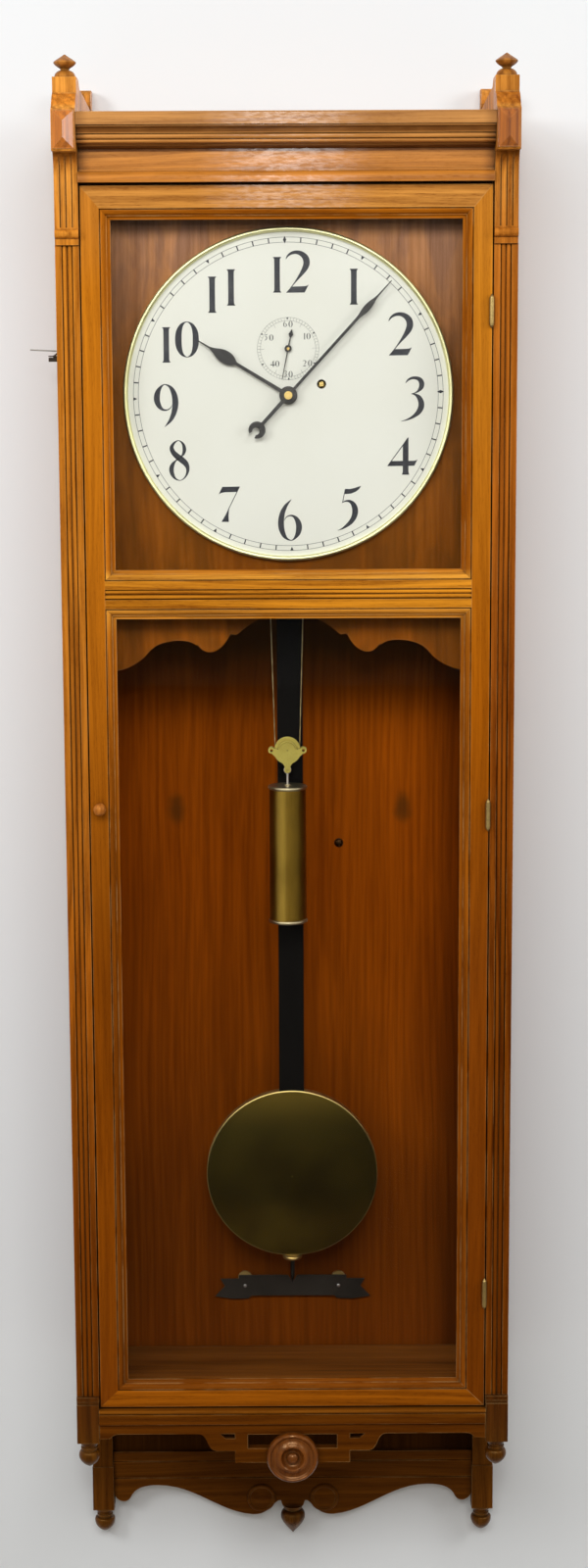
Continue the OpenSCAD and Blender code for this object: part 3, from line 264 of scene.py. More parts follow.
tone = math_of(grain, "ADD", times(grain, between(grain, streak, 0.3, 0.7), 0.45),
               times(grain, between(grain, broad, 0.3, 0.7), 0.35))
tone = math_of(grain, "ADD", tone, times(grain, between(grain, fibre, 0.25, 0.75), 0.2))
ringed = times(grain, between(grain, rings, 0.35, 0.95), given["Ring"])
tone = math_of(grain, "SUBTRACT", tone, times(grain, ringed, 0.45))
tone = math_of(grain, "SUBTRACT", tone, times(grain, pore, 0.6))
tone = times(grain, math_of(grain, "SUBTRACT", tone, 0.42), given["Contrast"])
lighter = mix(grain, 1.0, given["Tone"], (1.75, 1.85, 2.0, 1), "MULTIPLY")
darker = mix(grain, 1.0, given["Tone"], (0.40, 0.28, 0.20, 1), "MULTIPLY")
wood = mix(grain, times(grain, tone, 1.6, clamp=True), given["Tone"], lighter)
wood = mix(grain, times(grain, tone, -1.6, clamp=True), wood, darker)
give(Color=wood, Roughness=math_of(grain, "ADD", times(grain, fibre, 0.16), times(grain, pore, 0.15)),
     Height=math_of(grain, "SUBTRACT", times(grain, fibre, 0.25), pore))

# Age: varnish rubbed thin and pale on the edges, partly wear and partly a painted edge highlight; dark
# wax in the corners, together with painted shade in corners and recesses; and patches where hands and
# dust have dulled it.
asked = [("Color", "Color", white), ("Rubbed", "Color", white), ("Wax", "Color", (0, 0, 0, 1)),
         ("Wear", "Float", 0.5), ("Dirt", "Float", 0.5)]
age, given, give = effect("age", asked, [("Color", "Color"), ("Roughness", "Float")])
place = object_place(age)
# The pale edges are partly worn varnish and partly a painted highlight on every edge.
rounded = put(age, "Bevel", {"Radius": 0.0016}, samples=4).outputs["Normal"]
square = put(age, "NewGeometry").outputs["Normal"]
edge = put(age, "VectorMath", {0: rounded, 1: square}, operation="DOT_PRODUCT").outputs["Value"]
edge = between(age, edge, 0.99, 0.8)
patch = noise(age, place, 22.0, 4.0, 0.65)
edge = times(age, edge, between(age, patch, 0.35, 0.62))
# Ambient occlusion pulls corners and recesses towards the wax colour: partly wax, partly painted shade. The
# wider reach is painted shade alone, deepening the coves and the shade under mouldings.
hollow = put(age, "AmbientOcclusion", {"Distance": 0.012}, samples=6, only_local=False).outputs["AO"]
hollow = between(age, hollow, 0.85, 0.25)
recess = put(age, "AmbientOcclusion", {"Distance": 0.05}, samples=6, only_local=False).outputs["AO"]
hollow = math_of(age, "MAXIMUM", hollow, between(age, recess, 0.62, 0.12, 0.0, 0.8))
worn = mix(age, times(age, edge, given["Wear"]), given["Color"], given["Rubbed"])
worn = mix(age, times(age, hollow, given["Dirt"]), worn, given["Wax"])
dull = between(age, noise(age, place, 7.0, 3.0), 0.35, 0.7, -0.04, 0.08)
give(Color=worn, Roughness=math_of(age, "ADD", dull, times(age, hollow, 0.25)))


def dress(material, *names):
    for name in names:
        for slot in nodes[name].material_slots:
            slot.link = "OBJECT"
            slot.material = material


def by_height(tree, tones, right=None):
    """The colours at given heights in metres, and those right of the middle, with light and shade by height
    painted in.
    """
    at = at_object(tree)
    foot, head = -1.65, 0.15

    def column(stops):
        level = put(tree, "MapRange", {"Value": at["Z"], "From Min": foot, "From Max": head})
        ramp = put(tree, "ValToRGB", {0: level.outputs["Result"]})
        while len(ramp.color_ramp.elements) < len(stops):
            ramp.color_ramp.elements.new(0.5)
        for element, (height, colour) in zip(ramp.color_ramp.elements, stops):
            element.position = (height - foot) / (head - foot)
            element.color = (*colour, 1)
        return ramp.outputs["Color"]

    left = column(tones)
    return mix(tree, between(tree, at["X"], -0.01, 0.01), left, column(right)) if right else left


def wooden(name, tones, right=None, level=0.0, board=0.0, contrast=1.0, porous=0.5, ring=0.5, rough=0.3,
           wear=0.4, dirt=0.6, rubbed=(0.62, 0.36, 0.13), shine=0.09, tint=(1.0, 0.6, 0.2), polish=None,
           bare_behind=None, extra=None):
    """A varnished wood. tones lists heights, lowest first, and the mean colour there, into which light and
    shade by height are painted. polish is the roughness of a coat of wax and where it lies, and
    bare_behind is the y of a bare rear face."""
    material, tree = new_material(name)
    tone = by_height(tree, tones, right)
    if bare_behind is not None:
        rear = between(tree, at_object(tree)["Y"], bare_behind - 0.003, bare_behind - 0.001)
        tone = mix(tree, rear, tone, (0.20, 0.085, 0.026, 1))
    wood = use(tree, grain, Level=level(tree) if callable(level) else level, Board=board, Tone=tone,
               Contrast=contrast, Porous=porous, Ring=ring)
    colour = extra(tree, wood["Color"]) if extra else wood["Color"]
    if bare_behind is not None:
        colour = mix(tree, rear, colour, wood["Color"])
    old = use(tree, age, Color=colour, Rubbed=(*rubbed, 1), Wax=(0.020, 0.008, 0.002, 1), Wear=wear,
              Dirt=dirt)
    roughness = math_of(tree, "ADD", math_of(tree, "ADD", wood["Roughness"], old["Roughness"]), rough)
    bump = put(tree, "Bump", {"Strength": 0.35, "Distance": 0.0004, "Height": wood["Height"]})
    surface = put(tree, "BsdfPrincipled", {"Base Color": old["Color"], "Roughness": roughness,
                                           "Normal": bump.outputs["Normal"], "Specular IOR Level": shine,
                                           "Specular Tint": (*tint, 1)})
    if polish:
        surface.inputs["Coat Roughness"].default_value = polish[0]
        tree.links.new(polish[1](tree), surface.inputs["Coat Weight"])
    show(tree, surface.outputs[0])
    return material


def stains(tree, colour):
    """Two oval stains, 134 mm to each side and 724 mm below the hanger hole, and a darker right edge."""
    at = at_object(tree)
    half_wide, half_high = 0.010, 0.017
    aside = math_of(tree, "SUBTRACT", math_of(tree, "ABSOLUTE", at["X"]), 0.134)
    aside = math_of(tree, "DIVIDE", aside, half_wide)
    above = math_of(tree, "DIVIDE", math_of(tree, "ADD", at["Z"], 0.724), half_high)
    far = distance(tree, aside, above)
    ragged = math_of(tree, "ADD", far, times(tree, noise(tree, object_place(tree), 90.0, 3.0), 0.8))
    colour = mix(tree, between(tree, ragged, 1.9, 0.7, 0.0, 0.7), colour, (0.06, 0.022, 0.004, 1))
    return mix(tree, between(tree, at["X"], 0.155, 0.20, 0.0, 0.9), colour, (0.42, 0.38, 0.4, 1), "MULTIPLY")


# The back board's colour by height holds painted light: nearly black at the foot as painted shade under the
# case, darker downwards as a painted fall-off of the light, and dark at the top as a painted shadow under the
# dial board.
red_tones = [(-1.46, (0.035, 0.010, 0.001)), (-1.40, (0.15, 0.032, 0.001)), (-1.2, (0.17, 0.036, 0.001)),
             (-0.8, (0.27, 0.053, 0.001)), (-0.62, (0.27, 0.055, 0.0012)), (-0.53, (0.055, 0.017, 0.001))]
red_stain = wooden("red_stained_board", red_tones, board=0.4, contrast=0.7, porous=0.3, ring=0.3, rough=0.34,
                   wear=0.2, dirt=0.4, shine=0.05, bare_behind=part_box("back_board")[1][1], extra=stains)
dress(red_stain, "back_board")

# The carcass: two oak sides with a scroll at the top of the back edge, a top board, a floor, the seat
# board that the movement stands on, and upright cleats behind the door. The grain of the level
# boards runs from side to side.
# Darker downwards and paler at the top: a painted fall-off of the light and a painted sheen.
side_tones = [(-1.60, (0.13, 0.036, 0.003)), (-1.20, (0.17, 0.040, 0.002)), (-0.90, (0.24, 0.062, 0.003)),
              (-0.60, (0.38, 0.115, 0.007)), (-0.10, (0.48, 0.160, 0.011)), (0.10, (0.52, 0.200, 0.035))]
side_oak = wooden("side_oak", side_tones, board=1.3, ring=0.6, rough=0.5, shine=0.05)
dress(side_oak, "left_side", "right_side")
# Darker downwards: a painted fall-off of the light.
plain_tones = [(-1.4, (0.16, 0.050, 0.006)), (0.0, (0.28, 0.12, 0.035))]
plain_oak = wooden("plain_oak", plain_tones, level=1.0, board=2.1, rough=0.42, rubbed=(0.4, 0.2, 0.08))
dress(plain_oak, "top_board", "bottom_board", "seat_board")
rough_oak = wooden("upright_batten_oak", plain_tones, board=3.2, rough=0.45, rubbed=(0.4, 0.2, 0.08))
dress(rough_oak, "case_cleats")


# The head of the case: a cornice run in one length with fascia, bead, cove and reeds, and a
# frieze board with an ovolo under it, in oak with level grain under an old amber varnish.
def dark_cove(tree, colour):
    """Painted shade in the cove and a painted shadow in the joint under the reeds, and the ends darkened."""
    at = at_object(tree)
    cove = band(tree, at["Z"], 0.0322, 0.0350, 0.0395, 0.0405)
    joint = band(tree, at["Z"], 0.0150, 0.0165, 0.0205, 0.0222)
    ends = between(tree, math_of(tree, "ABSOLUTE", at["X"]), 0.205, 0.219, 0.0, 0.5)
    dark = math_of(tree, "MAXIMUM", math_of(tree, "MAXIMUM", times(tree, cove, 0.85), joint), ends)
    dark = times(tree, dark, between(tree, noise(tree, object_place(tree), 30.0, 3.0), 0.2, 0.6, 0.7, 1.0))
    return mix(tree, dark, colour, (0.30, 0.22, 0.15, 1), "MULTIPLY")


def rubbed_middle(tree):
    """The varnish of the middle has been wiped and wears a broken shine."""
    patches = noise(tree, stretched(tree, object_place(tree), 90, 90, 380), 1.0, 4.0, 0.6)
    broken = between(tree, patches, 0.36, 0.66, 0.2, 1.0)
    off_middle = math_of(tree, "ABSOLUTE", at_object(tree)["X"])
    return times(tree, broken, between(tree, off_middle, 0.105, 0.015))


# Paler and bluer towards the top: a painted sheen.
cornice_oak = wooden("cornice_oak", [(-0.02, (0.405, 0.130, 0.008)), (0.0, (0.42, 0.150, 0.022)),
                                     (0.045, (0.44, 0.190, 0.045))], level=1.0, board=0.9, ring=0.3,
                     contrast=0.8, dirt=1.0, rough=0.32, shine=0.2, tint=(1.0, 0.8, 0.6),
                     polish=(0.24, rubbed_middle), extra=dark_cove)
dress(cornice_oak, "cornice", "frieze")


# The consoles and the pilasters under them: oak, set against the front edges of the sides. A
# console is carved with an ogee, a polished pyramid boss, a fluted cove and a roll, and a pilaster
# has two beads sunk between flats.
def on_boss(tree):
    """1 on the four facets of the pyramid boss."""
    at = at_object(tree)
    level = band(tree, at["Z"], 0.0145, 0.0165, 0.0565, 0.0585)
    return times(tree, level, between(tree, at["Y"], -0.2455, -0.2465))


def console_shade(tree, colour):
    """The carving is redder on the boss and darker on the ogee, and darkest in the cove below the boss and
    above the roll, a painted shadow under the boss.
    """
    height = at_object(tree)["Z"]
    cove = times(tree, band(tree, height, -0.012, 0.010, 0.0135, 0.0150), 0.8)
    ogee = times(tree, band(tree, height, 0.060, 0.064, 0.0745, 0.0765), 0.6)
    colour = mix(tree, cove, colour, (0.38, 0.26, 0.15, 1), "MULTIPLY")
    colour = mix(tree, ogee, colour, (0.75, 0.52, 0.2, 1), "MULTIPLY")
    return mix(tree, on_boss(tree), colour, (0.74, 0.54, 0.28, 1), "MULTIPLY")


# Darker downwards and paler at the top: a painted fall-off of the light and a painted sheen.
left_tones = [(-1.38, (0.13, 0.030, 0.001)), (-1.195, (0.15, 0.033, 0.0015)), (-0.875, (0.28, 0.073, 0.004)),
              (-0.555, (0.43, 0.140, 0.012)), (-0.10, (0.47, 0.155, 0.012)), (0.03, (0.60, 0.235, 0.035))]
right_tones = [(-1.38, (0.13, 0.030, 0.001)), (-1.195, (0.15, 0.034, 0.0015)), (-0.875, (0.19, 0.045, 0.002)),
               (-0.555, (0.25, 0.060, 0.004)), (-0.10, (0.36, 0.105, 0.009)), (0.03, (0.48, 0.180, 0.025))]
upright_oak = wooden("upright_oak", left_tones, right_tones, board=5.1, porous=0.6, dirt=0.75,
                     polish=(0.12, on_boss), extra=console_shade)
dress(upright_oak, "consoles", "pilasters")

# Turned and sawn oak: the finials on top of the consoles, the corner blocks at the foot of the
# pilasters and the drops that hang below, all glued on.
turned_oak = wooden("turned_oak", [(0.08, (0.36, 0.125, 0.012)), (0.115, (0.33, 0.12, 0.02))], board=6.7,
                    ring=0.6, dirt=1.0, rough=0.22, shine=0.3)
dress(turned_oak, "top_finials")
foot_oak = wooden("foot_oak", [(-1.6, (0.085, 0.026, 0.002)), (-1.44, (0.075, 0.022, 0.001)),
                               (-1.40, (0.068, 0.016, 0.001))], board=6.1, ring=0.6, dirt=0.9, rough=0.2,
                  shine=0.35)
dress(foot_oak, "corner_blocks", "drop_finials")

# The foot of the case: base moulding, fretted apron with its turned rosette in a redder wood, and
# posts and a shaped apron behind, with two turned roundels. Its dark colour is partly the oak's own and
# partly a painted fall-off of the light low on the case.
# Darkest just below the case, a painted shade under it, and paler again at the very top.
apron_tones = [(-1.6, (0.115, 0.034, 0.003)), (-1.46, (0.075, 0.020, 0.001)), (-1.40, (0.095, 0.023, 0.001)),
               (-1.388, (0.20, 0.060, 0.003))]
apron_oak = wooden("apron_oak", apron_tones, level=1.0, board=7.9, contrast=0.8, porous=0.6, dirt=0.9)
dress(apron_oak, "base_moulding", "front_apron", "back_apron", "apron_roundels")
# Darker at the top: a painted shadow under the case.
post_oak = wooden("post_oak", [(-1.6, (0.10, 0.030, 0.003)), (-1.40, (0.055, 0.016, 0.001))], board=8.8,
                  porous=0.6)
dress(post_oak, "back_posts")
red_turned = wooden("red_turned_wood", [(-1.5, (0.13, 0.032, 0.003)), (-0.5, (0.30, 0.10, 0.012))], board=9.4,
                    porous=0.25, ring=0.4, dirt=0.8, rubbed=(0.34, 0.12, 0.03), rough=0.12, shine=0.6,
                    tint=(1.0, 0.6, 0.3))
dress(red_turned, "rosette")


# The hinges: three pairs of brass leaves that turn on a pin with a pointed tip at each end. One
# leaf of each pair is screwed to the case and one to the door.
def metal(name, bright, dull, rough=0.25, scratch=(60, 60, 60), mottled=9.0, wear=0.4, dirt=0.5, metallic=1.0,
          shine=0.5, bump=0.15, rubbed=None, rough_span=0.14, extra=None):
    """A metal whose tarnish gathers in patches, whose hollows are darkened, partly tarnish and partly
    painted shade, and whose edges are paled, partly rubbed off and partly a painted highlight.
    """
    material, tree = new_material(name)
    place = object_place(tree)
    cloud = between(tree, noise(tree, place, mottled, 5.0, 0.6), 0.35, 0.68)
    lines = noise(tree, stretched(tree, place, *scratch), 10.0, 3.0, 0.6)
    colour = mix(tree, cloud, (*bright, 1), (*dull, 1))
    colour = mix(tree, between(tree, lines, 0.35, 0.7, 0.0, 0.35), colour, (*dull, 1))
    colour = extra(tree, colour) if extra else colour
    old = use(tree, age, Color=colour, Rubbed=(*(rubbed or bright), 1), Wax=(*[c * 0.25 for c in dull], 1),
              Wear=wear, Dirt=dirt)
    roughness = math_of(tree, "ADD", times(tree, lines, rough_span), old["Roughness"])
    roughness = math_of(tree, "ADD", roughness, rough)
    normal = put(tree, "Bump", {"Strength": bump, "Distance": 0.0001, "Height": lines}).outputs["Normal"]
    show(tree, put(tree, "BsdfPrincipled", {"Base Color": old["Color"], "Metallic": metallic,
                                            "Roughness": roughness, "Normal": normal,
                                            "Specular IOR Level": shine}).outputs[0])
    return material


hinge_brass = metal("hinge_brass", (0.46, 0.33, 0.12), (0.22, 0.14, 0.05), rough=0.32, dirt=0.8)
dress(hinge_brass, "case_hinges", "door_hinges")

# The hanger: a steel plate let into the back board and held by two screws, with the hole for the
# hook in the wall.
plain_steel = metal("plain_steel", (0.42, 0.41, 0.39), (0.24, 0.22, 0.20), rough=0.35, dirt=0.7)
dress(plain_steel, "hanger_plate")

# The beat plate: black iron in two layers, with ends cut like a ribbon's, under the tip of the
# pendulum. Two round brass studs hold it off the back board, and two screws go through them.
black_iron = metal("black_iron", (0.040, 0.033, 0.026), (0.020, 0.016, 0.012), rough=0.45, metallic=0.3,
                   rubbed=(0.12, 0.10, 0.075), scratch=(25, 25, 25), bump=0.4, shine=0.15)
dress(black_iron, "beat_plate")
wheel_brass = metal("wheel_brass", (0.64, 0.47, 0.17), (0.42, 0.28, 0.09))
dress(wheel_brass, "beat_studs")


# The screws: turned steel, two through the beat plate, two in the hanger and a spare one in the
# back board.
def screw_heads(tree, colour):
    """Those of the beat plate are bright, and the others are browned."""
    return mix(tree, between(tree, at_object(tree)["Z"], -1.1, -1.0), colour, (0.035, 0.016, 0.006, 1))


screw_steel = metal("screw_steel", (0.50, 0.49, 0.47), (0.30, 0.28, 0.26), rough=0.32, dirt=0.6,
                    extra=screw_heads)
dress(screw_steel, "wood_screws")


# The ironwork on the left side of the case: a black iron plate with a lug and a strip, and a thin
# steel pin. It is fixed to the side board.
def bright_pin(tree, colour):
    """The thin pin of the side ironwork is bare steel."""
    at = at_object(tree)
    axis = math_of(tree, "SUBTRACT", times(tree, math_of(tree, "ADD", at["X"], 0.2857), -0.0472), 0.1891)
    off_z = math_of(tree, "SUBTRACT", at["Z"], axis)
    off_y = math_of(tree, "ADD", at["Y"], 0.119)
    off = distance(tree, off_z, off_y)
    return mix(tree, between(tree, off, 0.0013, 0.0010), colour, (0.34, 0.34, 0.31, 1))


bracket_iron = metal("bracket_iron", (0.050, 0.036, 0.024), (0.024, 0.017, 0.011), rough=0.42, metallic=0.4,
                     rubbed=(0.14, 0.11, 0.08), scratch=(25, 25, 25), bump=0.4, shine=0.2, extra=bright_pin)
dress(bracket_iron, "side_bracket")

# The door: two stiles and three rails in oak, with a mitred moulding round each pane whose grain
# turns with it. Beads hold the glass from behind, and a turned knob stands on the left stile.
# Darker downwards and paler, bluer at the top: a painted fall-off of the light and a painted sheen.
left_tones = [(-1.38, (0.19, 0.044, 0.002)), (-1.195, (0.20, 0.046, 0.001)), (-0.875, (0.175, 0.040, 0.001)),
              (-0.555, (0.36, 0.103, 0.004)), (-0.13, (0.455, 0.140, 0.005)), (0.0, (0.46, 0.165, 0.020))]
right_tones = [(-1.38, (0.14, 0.031, 0.001)), (-1.195, (0.15, 0.032, 0.001)), (-0.875, (0.20, 0.045, 0.002)),
               (-0.555, (0.33, 0.086, 0.002)), (-0.13, (0.49, 0.168, 0.009)), (0.0, (0.50, 0.180, 0.018))]
stile_oak = wooden("stile_oak", left_tones, right_tones, board=11.3, contrast=0.6, porous=0.6, ring=0.25,
                   dirt=0.7)
dress(stile_oak, "door_stiles")


def top_polish(tree):
    """Only the top rail shares the shine of the cornice."""
    return times(tree, rubbed_middle(tree), between(tree, at_object(tree)["Z"], -0.2, -0.1))


# Darker downwards and bluer on the top rail: a painted fall-off of the light and a painted sheen.
rail_tones = [(-1.38, (0.255, 0.066, 0.002)), (-0.48, (0.48, 0.170, 0.008)), (-0.44, (0.56, 0.205, 0.013)),
              (-0.03, (0.49, 0.200, 0.036))]
rail_oak = wooden("rail_oak", rail_tones, level=1.0, board=12.2, porous=0.6, ring=0.4, dirt=0.7, shine=0.12,
                  polish=(0.26, top_polish))
dress(rail_oak, "top_rail", "middle_rail", "bottom_rail")


def mitred(tree):
    """1 where a strip of a pane's frame lies level, up to its mitres, and 0 where it stands."""
    at = at_object(tree)
    from_stile = math_of(tree, "SUBTRACT", 0.1996, math_of(tree, "ABSOLUTE", at["X"]))
    from_rail = 1.0
    for rail_edge in (-0.0428, -0.43895, -0.46945, -1.366):
        near = math_of(tree, "ABSOLUTE", math_of(tree, "SUBTRACT", at["Z"], rail_edge))
        from_rail = math_of(tree, "MINIMUM", near, from_rail)
    return math_of(tree, "LESS_THAN", from_rail, from_stile)


# Darker downwards, a painted fall-off of the light, and much paler in a band on the middle rail.
moulding_tones = [(-1.36, (0.16, 0.039, 0.002)), (-0.90, (0.21, 0.051, 0.002)), (-0.50, (0.33, 0.094, 0.005)),
                  (-0.444, (0.60, 0.255, 0.030)), (-0.434, (0.58, 0.240, 0.026)),
                  (-0.426, (0.38, 0.108, 0.005)), (-0.05, (0.35, 0.098, 0.004))]
moulding_oak = wooden("moulding_oak", moulding_tones, level=mitred, board=13.6, ring=0.3, dirt=1.0, wear=0.6)
dress(moulding_oak, "door_mouldings")
# Darker downwards: a painted fall-off of the light.
bead_oak = wooden("bead_oak", [(-1.36, (0.12, 0.035, 0.003)), (-0.05, (0.25, 0.09, 0.012))], level=mitred,
                  board=14.1, rough=0.42, dirt=0.6)
dress(bead_oak, "glass_beads")
knob_wood = wooden("knob_wood", [(-1.0, (0.42, 0.135, 0.02)), (0.0, (0.42, 0.135, 0.02))], board=15.2,
                   porous=0.3, rough=0.2, dirt=0.7, shine=0.4)
dress(knob_wood, "door_knob")

# The panes: two sheets of clear window glass, a little dusty, held from behind by the beads.
# Lamps shine through them to what stands behind.
pane_glass, tree = new_material("pane_glass")
smear = between(tree, noise(tree, object_place(tree), 9.0, 4.0), 0.4, 0.75, 0.0, 0.012)
glass = put(tree, "BsdfPrincipled", {"Base Color": (0.985, 0.99, 0.985, 1), "Roughness": smear, "IOR": 1.45,
                                     "Transmission Weight": 1.0, "Specular Tint": (0.05, 0.05, 0.05, 1)})
path = put(tree, "LightPath").outputs
through = math_of(tree, "MAXIMUM", path["Is Shadow Ray"], path["Is Diffuse Ray"])
clear = put(tree, "BsdfTransparent", {"Color": (0.97, 0.975, 0.97, 1)}).outputs[0]
show(tree, put(tree, "MixShader", {0: through, 1: glass.outputs[0], 2: clear}).outputs[0])
dress(pane_glass, "door_glass")

# The movement: wheels of drawn and turned brass on arbors that run in two brass plates, with a
# winding drum. It stands on the seat board, and the pendulum hangs from the brass cock behind it.
dress(wheel_brass, "centre_wheel", "third_wheel", "escape_wheel", "great_wheel", "motion_wheel", "hour_wheel",
      "winding_drum", "movement_frame", "suspension_cock")
dress(plain_steel, "anchor")


# The dial board: sawn from the same red-stained board as the back, with a scalloped lower edge. It
# stands on cleats behind the door. Near the top it is paler and greyer, a painted reflection of the
# glass, with a painted shadow just under the top rail.
def flames(tree, colour):
    """Soft upright blotches where the stain has taken darker and greyer."""
    blotches = noise(tree, stretched(tree, object_place(tree), 34, 34, 11), 1.0, 3.0, 0.6, 0.6)
    soft = between(tree, blotches, 0.36, 0.66)
    return mix(tree, times(tree, soft, 0.6), colour, (0.42, 0.50, 0.85, 1), "MULTIPLY")


# Paler and greyer near the top as a painted reflection of the glass, and darker at the very top as a painted
# shadow under the top rail.
dial_board_tones = [(-0.6, (0.36, 0.090, 0.003)), (-0.40, (0.28, 0.075, 0.004)),
                    (-0.22, (0.32, 0.105, 0.018)), (-0.07, (0.60, 0.27, 0.12)), (-0.05, (0.40, 0.21, 0.11))]
dial_stain = wooden("dial_board_stain", dial_board_tones, board=0.1, contrast=0.6, porous=0.3, ring=0.15,
                    rough=0.3, wear=0.25, dirt=0.5, extra=flames)
dress(dial_stain, "dial_board")

# The dial: sheet zinc under white paint that has yellowed a little, lying on the dial board, with a
# turned brass ring round its edge.
dial_white, tree = new_material("dial_white")
place = object_place(tree)
yellowed = mix(tree, between(tree, noise(tree, place, 6.0, 4.0), 0.3, 0.7), (0.87, 0.875, 0.80, 1),
               (0.84, 0.84, 0.755, 1))
specks = between(tree, noise(tree, place, 240.0, 2.0), 0.74, 0.8, 0.0, 0.25)
old = use(tree, age, Color=mix(tree, specks, yellowed, (0.45, 0.40, 0.30, 1)), Rubbed=(0.9, 0.9, 0.86, 1),
          Wax=(0.3, 0.27, 0.2, 1), Wear=0.2, Dirt=0.25)
roughness = math_of(tree, "ADD", old["Roughness"], 0.42)
waves = noise(tree, place, 60.0, 3.0)
normal = put(tree, "Bump", {"Strength": 0.1, "Distance": 0.0002, "Height": waves}).outputs["Normal"]
show(tree, put(tree, "BsdfPrincipled", {"Base Color": old["Color"], "Roughness": roughness, "Normal": normal,
                                        "Specular IOR Level": 0.25}).outputs[0])
dress(dial_white, "dial")
ring_brass = metal("ring_brass", (1.0, 0.98, 0.56), (0.86, 0.82, 0.42), rough=0.10, dirt=0.5)
dress(ring_brass, "dial_bezel")

# The printing on the dial: black figures with thick and thin strokes, a minute track of two thin
# rings, and a small seconds track with figures at each ten. Sizes are in millimetres from the
# centre arbor, and the tracks sit turned a degree to the left.
centre = Vector((0.001, -0.184, -0.240))
ink_lift = 0.00012


class Print:
    """Flat outlines in millimetres that lie a hair before the dial's face."""

    def __init__(self):
        self.points, self.faces = [], []

    def outline(self, corners, at=(0, 0), size=1.0, turn=0.0):
        cosine, sine = size * math.cos(turn), size * math.sin(turn)
        first = len(self.points)
        flat = [(at[0] + x * cosine + z * sine, at[1] + z * cosine - x * sine) for x, z in corners]
        area = sum(a[0] * b[1] - b[0] * a[1] for a, b in zip(flat, flat[1:] + flat[:1]))
        self.points += flat if area > 0 else flat[::-1]
        self.faces.append(list(range(first, len(self.points))))

    def brush(self, strokes, at=(0, 0), size=1.0, turn=0.0, closed=False, straight=False, steps=7):
        """A stroke, curved or straight, through points of x, z and width."""
        line = []
        count = len(strokes)
        for i in range(count if closed else count - 1):
            around = range(i - 1, i + 3)
            near = [strokes[k % count] if closed else strokes[min(max(k, 0), count - 1)] for k in around]
            for n in range(1 if straight else steps):
                t = n / steps
                line.append([0.5 * (2 * b + (c - a) * t + (2 * a - 5 * b + 4 * c - d) * t * t
                                    + (3 * b - a - 3 * c + d) * t ** 3) for a, b, c, d in zip(*near)])
        if not closed:
            line.append(strokes[-1])
        one_side, other_side = [], []
        last = len(line) - 1
        for i, (x, z, width) in enumerate(line):
            before = line[i - 1 if closed else max(i - 1, 0)]
            after = line[(i + 1) % len(line) if closed else min(i + 1, last)]
            dx, dz = after[0] - before[0], after[1] - before[1]
            half = width / 2 / (math.hypot(dx, dz) or 1.0)
            one_side.append((x - dz * half, z + dx * half))
            other_side.append((x + dz * half, z - dx * half))
        for i in range(len(line) if closed else last):
            k = (i + 1) % len(line)
            self.outline([one_side[i], one_side[k], other_side[k], other_side[i]], at, size, turn)

    def ring(self, radius, width, at=(0, 0), sides=180):
        inside, outside = radius - width / 2, radius + width / 2
        for i in range(sides):
            a, b = 2 * math.pi * i / sides, 2 * math.pi * (i + 1) / sides
            corners = ((inside, a), (outside, a), (outside, b), (inside, b))
            self.outline([(r * math.sin(t), r * math.cos(t)) for r, t in corners], at)

    def piece(self, name, material):
        mesh = bpy.data.meshes.new(name)
        on_dial = [centre + Vector((x / 1000, -ink_lift, z / 1000)) for x, z in self.points]
        mesh.from_pydata(on_dial, [], self.faces)
        mesh.materials.append(material)
        made = bpy.data.objects.new(name, mesh)
        bpy.context.scene.collection.objects.link(made)
        thick = made.modifiers.new("ink", "SOLIDIFY")
        thick.thickness, thick.offset = ink_lift, -1
        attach(made, "case")


def one(ink, at, size=1.0):
    ink.brush([(0, 0, 8.8), (0, 0.5, 8.6), (0, 1.6, 7.3), (0, 4.2, 6.2), (0, 33.4, 6.1), (0, 36.2, 7.2),
               (0, 37.3, 8.5), (0, 37.8, 8.8)], at, size)


def two(ink, at, size=1.0):
    ink.brush([(0.3, 35.8, 0.7), (2.5, 39.3, 1.9), (6.5, 42.0, 3.0), (12, 42.9, 3.9), (17.4, 41.1, 5.3),
               (21.4, 37.1, 6.6), (22.6, 32.0, 6.9), (21.2, 26.8, 6.2), (17.4, 20.7, 4.2), (12.5, 14.3, 2.1),
               (7.6, 8.0, 0.9), (2.7, 2.1, 0.7)], at, size)
    ink.outline([(0.3, 0), (20.4, 0.2), (24.9, 8.6), (22.8, 7.4), (20.2, 6.9), (6.2, 6.5)], at, size)


def three(ink, at, size=1.0):
    ink.brush([(5.6, 41.2, 0.6), (8.2, 44.4, 1.9), (12.5, 46.6, 2.7), (17.3, 46.6, 3.5), (21.2, 44.8, 4.9),
               (23.2, 41.0, 5.6), (22.6, 36.7, 5.0), (19.6, 32.8, 2.6), (15.9, 30.7, 1.0), (11.9, 29.7, 0.5)],
              at, size)
    ink.brush([(11.9, 29.7, 0.5), (16.3, 28.8, 2.2), (20.2, 25.8, 4.8), (22.6, 20.8, 6.1), (22.6, 15.4, 6.4),
               (19.8, 10.0, 5.4), (14.6, 5.4, 3.4), (8.1, 2.1, 1.7), (1.0, 0.2, 0.4)], at, size)


def four(ink, at, size=1.0):
    ink.outline([(16.2, 0), (24.2, 0), (24.0, 0.7), (23.3, 3.2), (23.3, 40.3), (22.6, 40.3), (17.1, 31.6),
                 (17.1, 3.2), (16.4, 0.7)], at, size)
    ink.brush([(0.7, 9.8, 0.8), (17.6, 32.6, 1.0), (22.7, 40.0, 1.0)], at, size, straight=True)
    ink.outline([(0.3, 9.4), (17.1, 9.57), (17.1, 15.0), (5.0, 14.9)], at, size)
    ink.outline([(23.3, 9.63), (29.7, 9.7), (33.3, 16.6), (31.4, 15.5), (29.4, 15.1), (23.3, 15.05)],
                at, size)


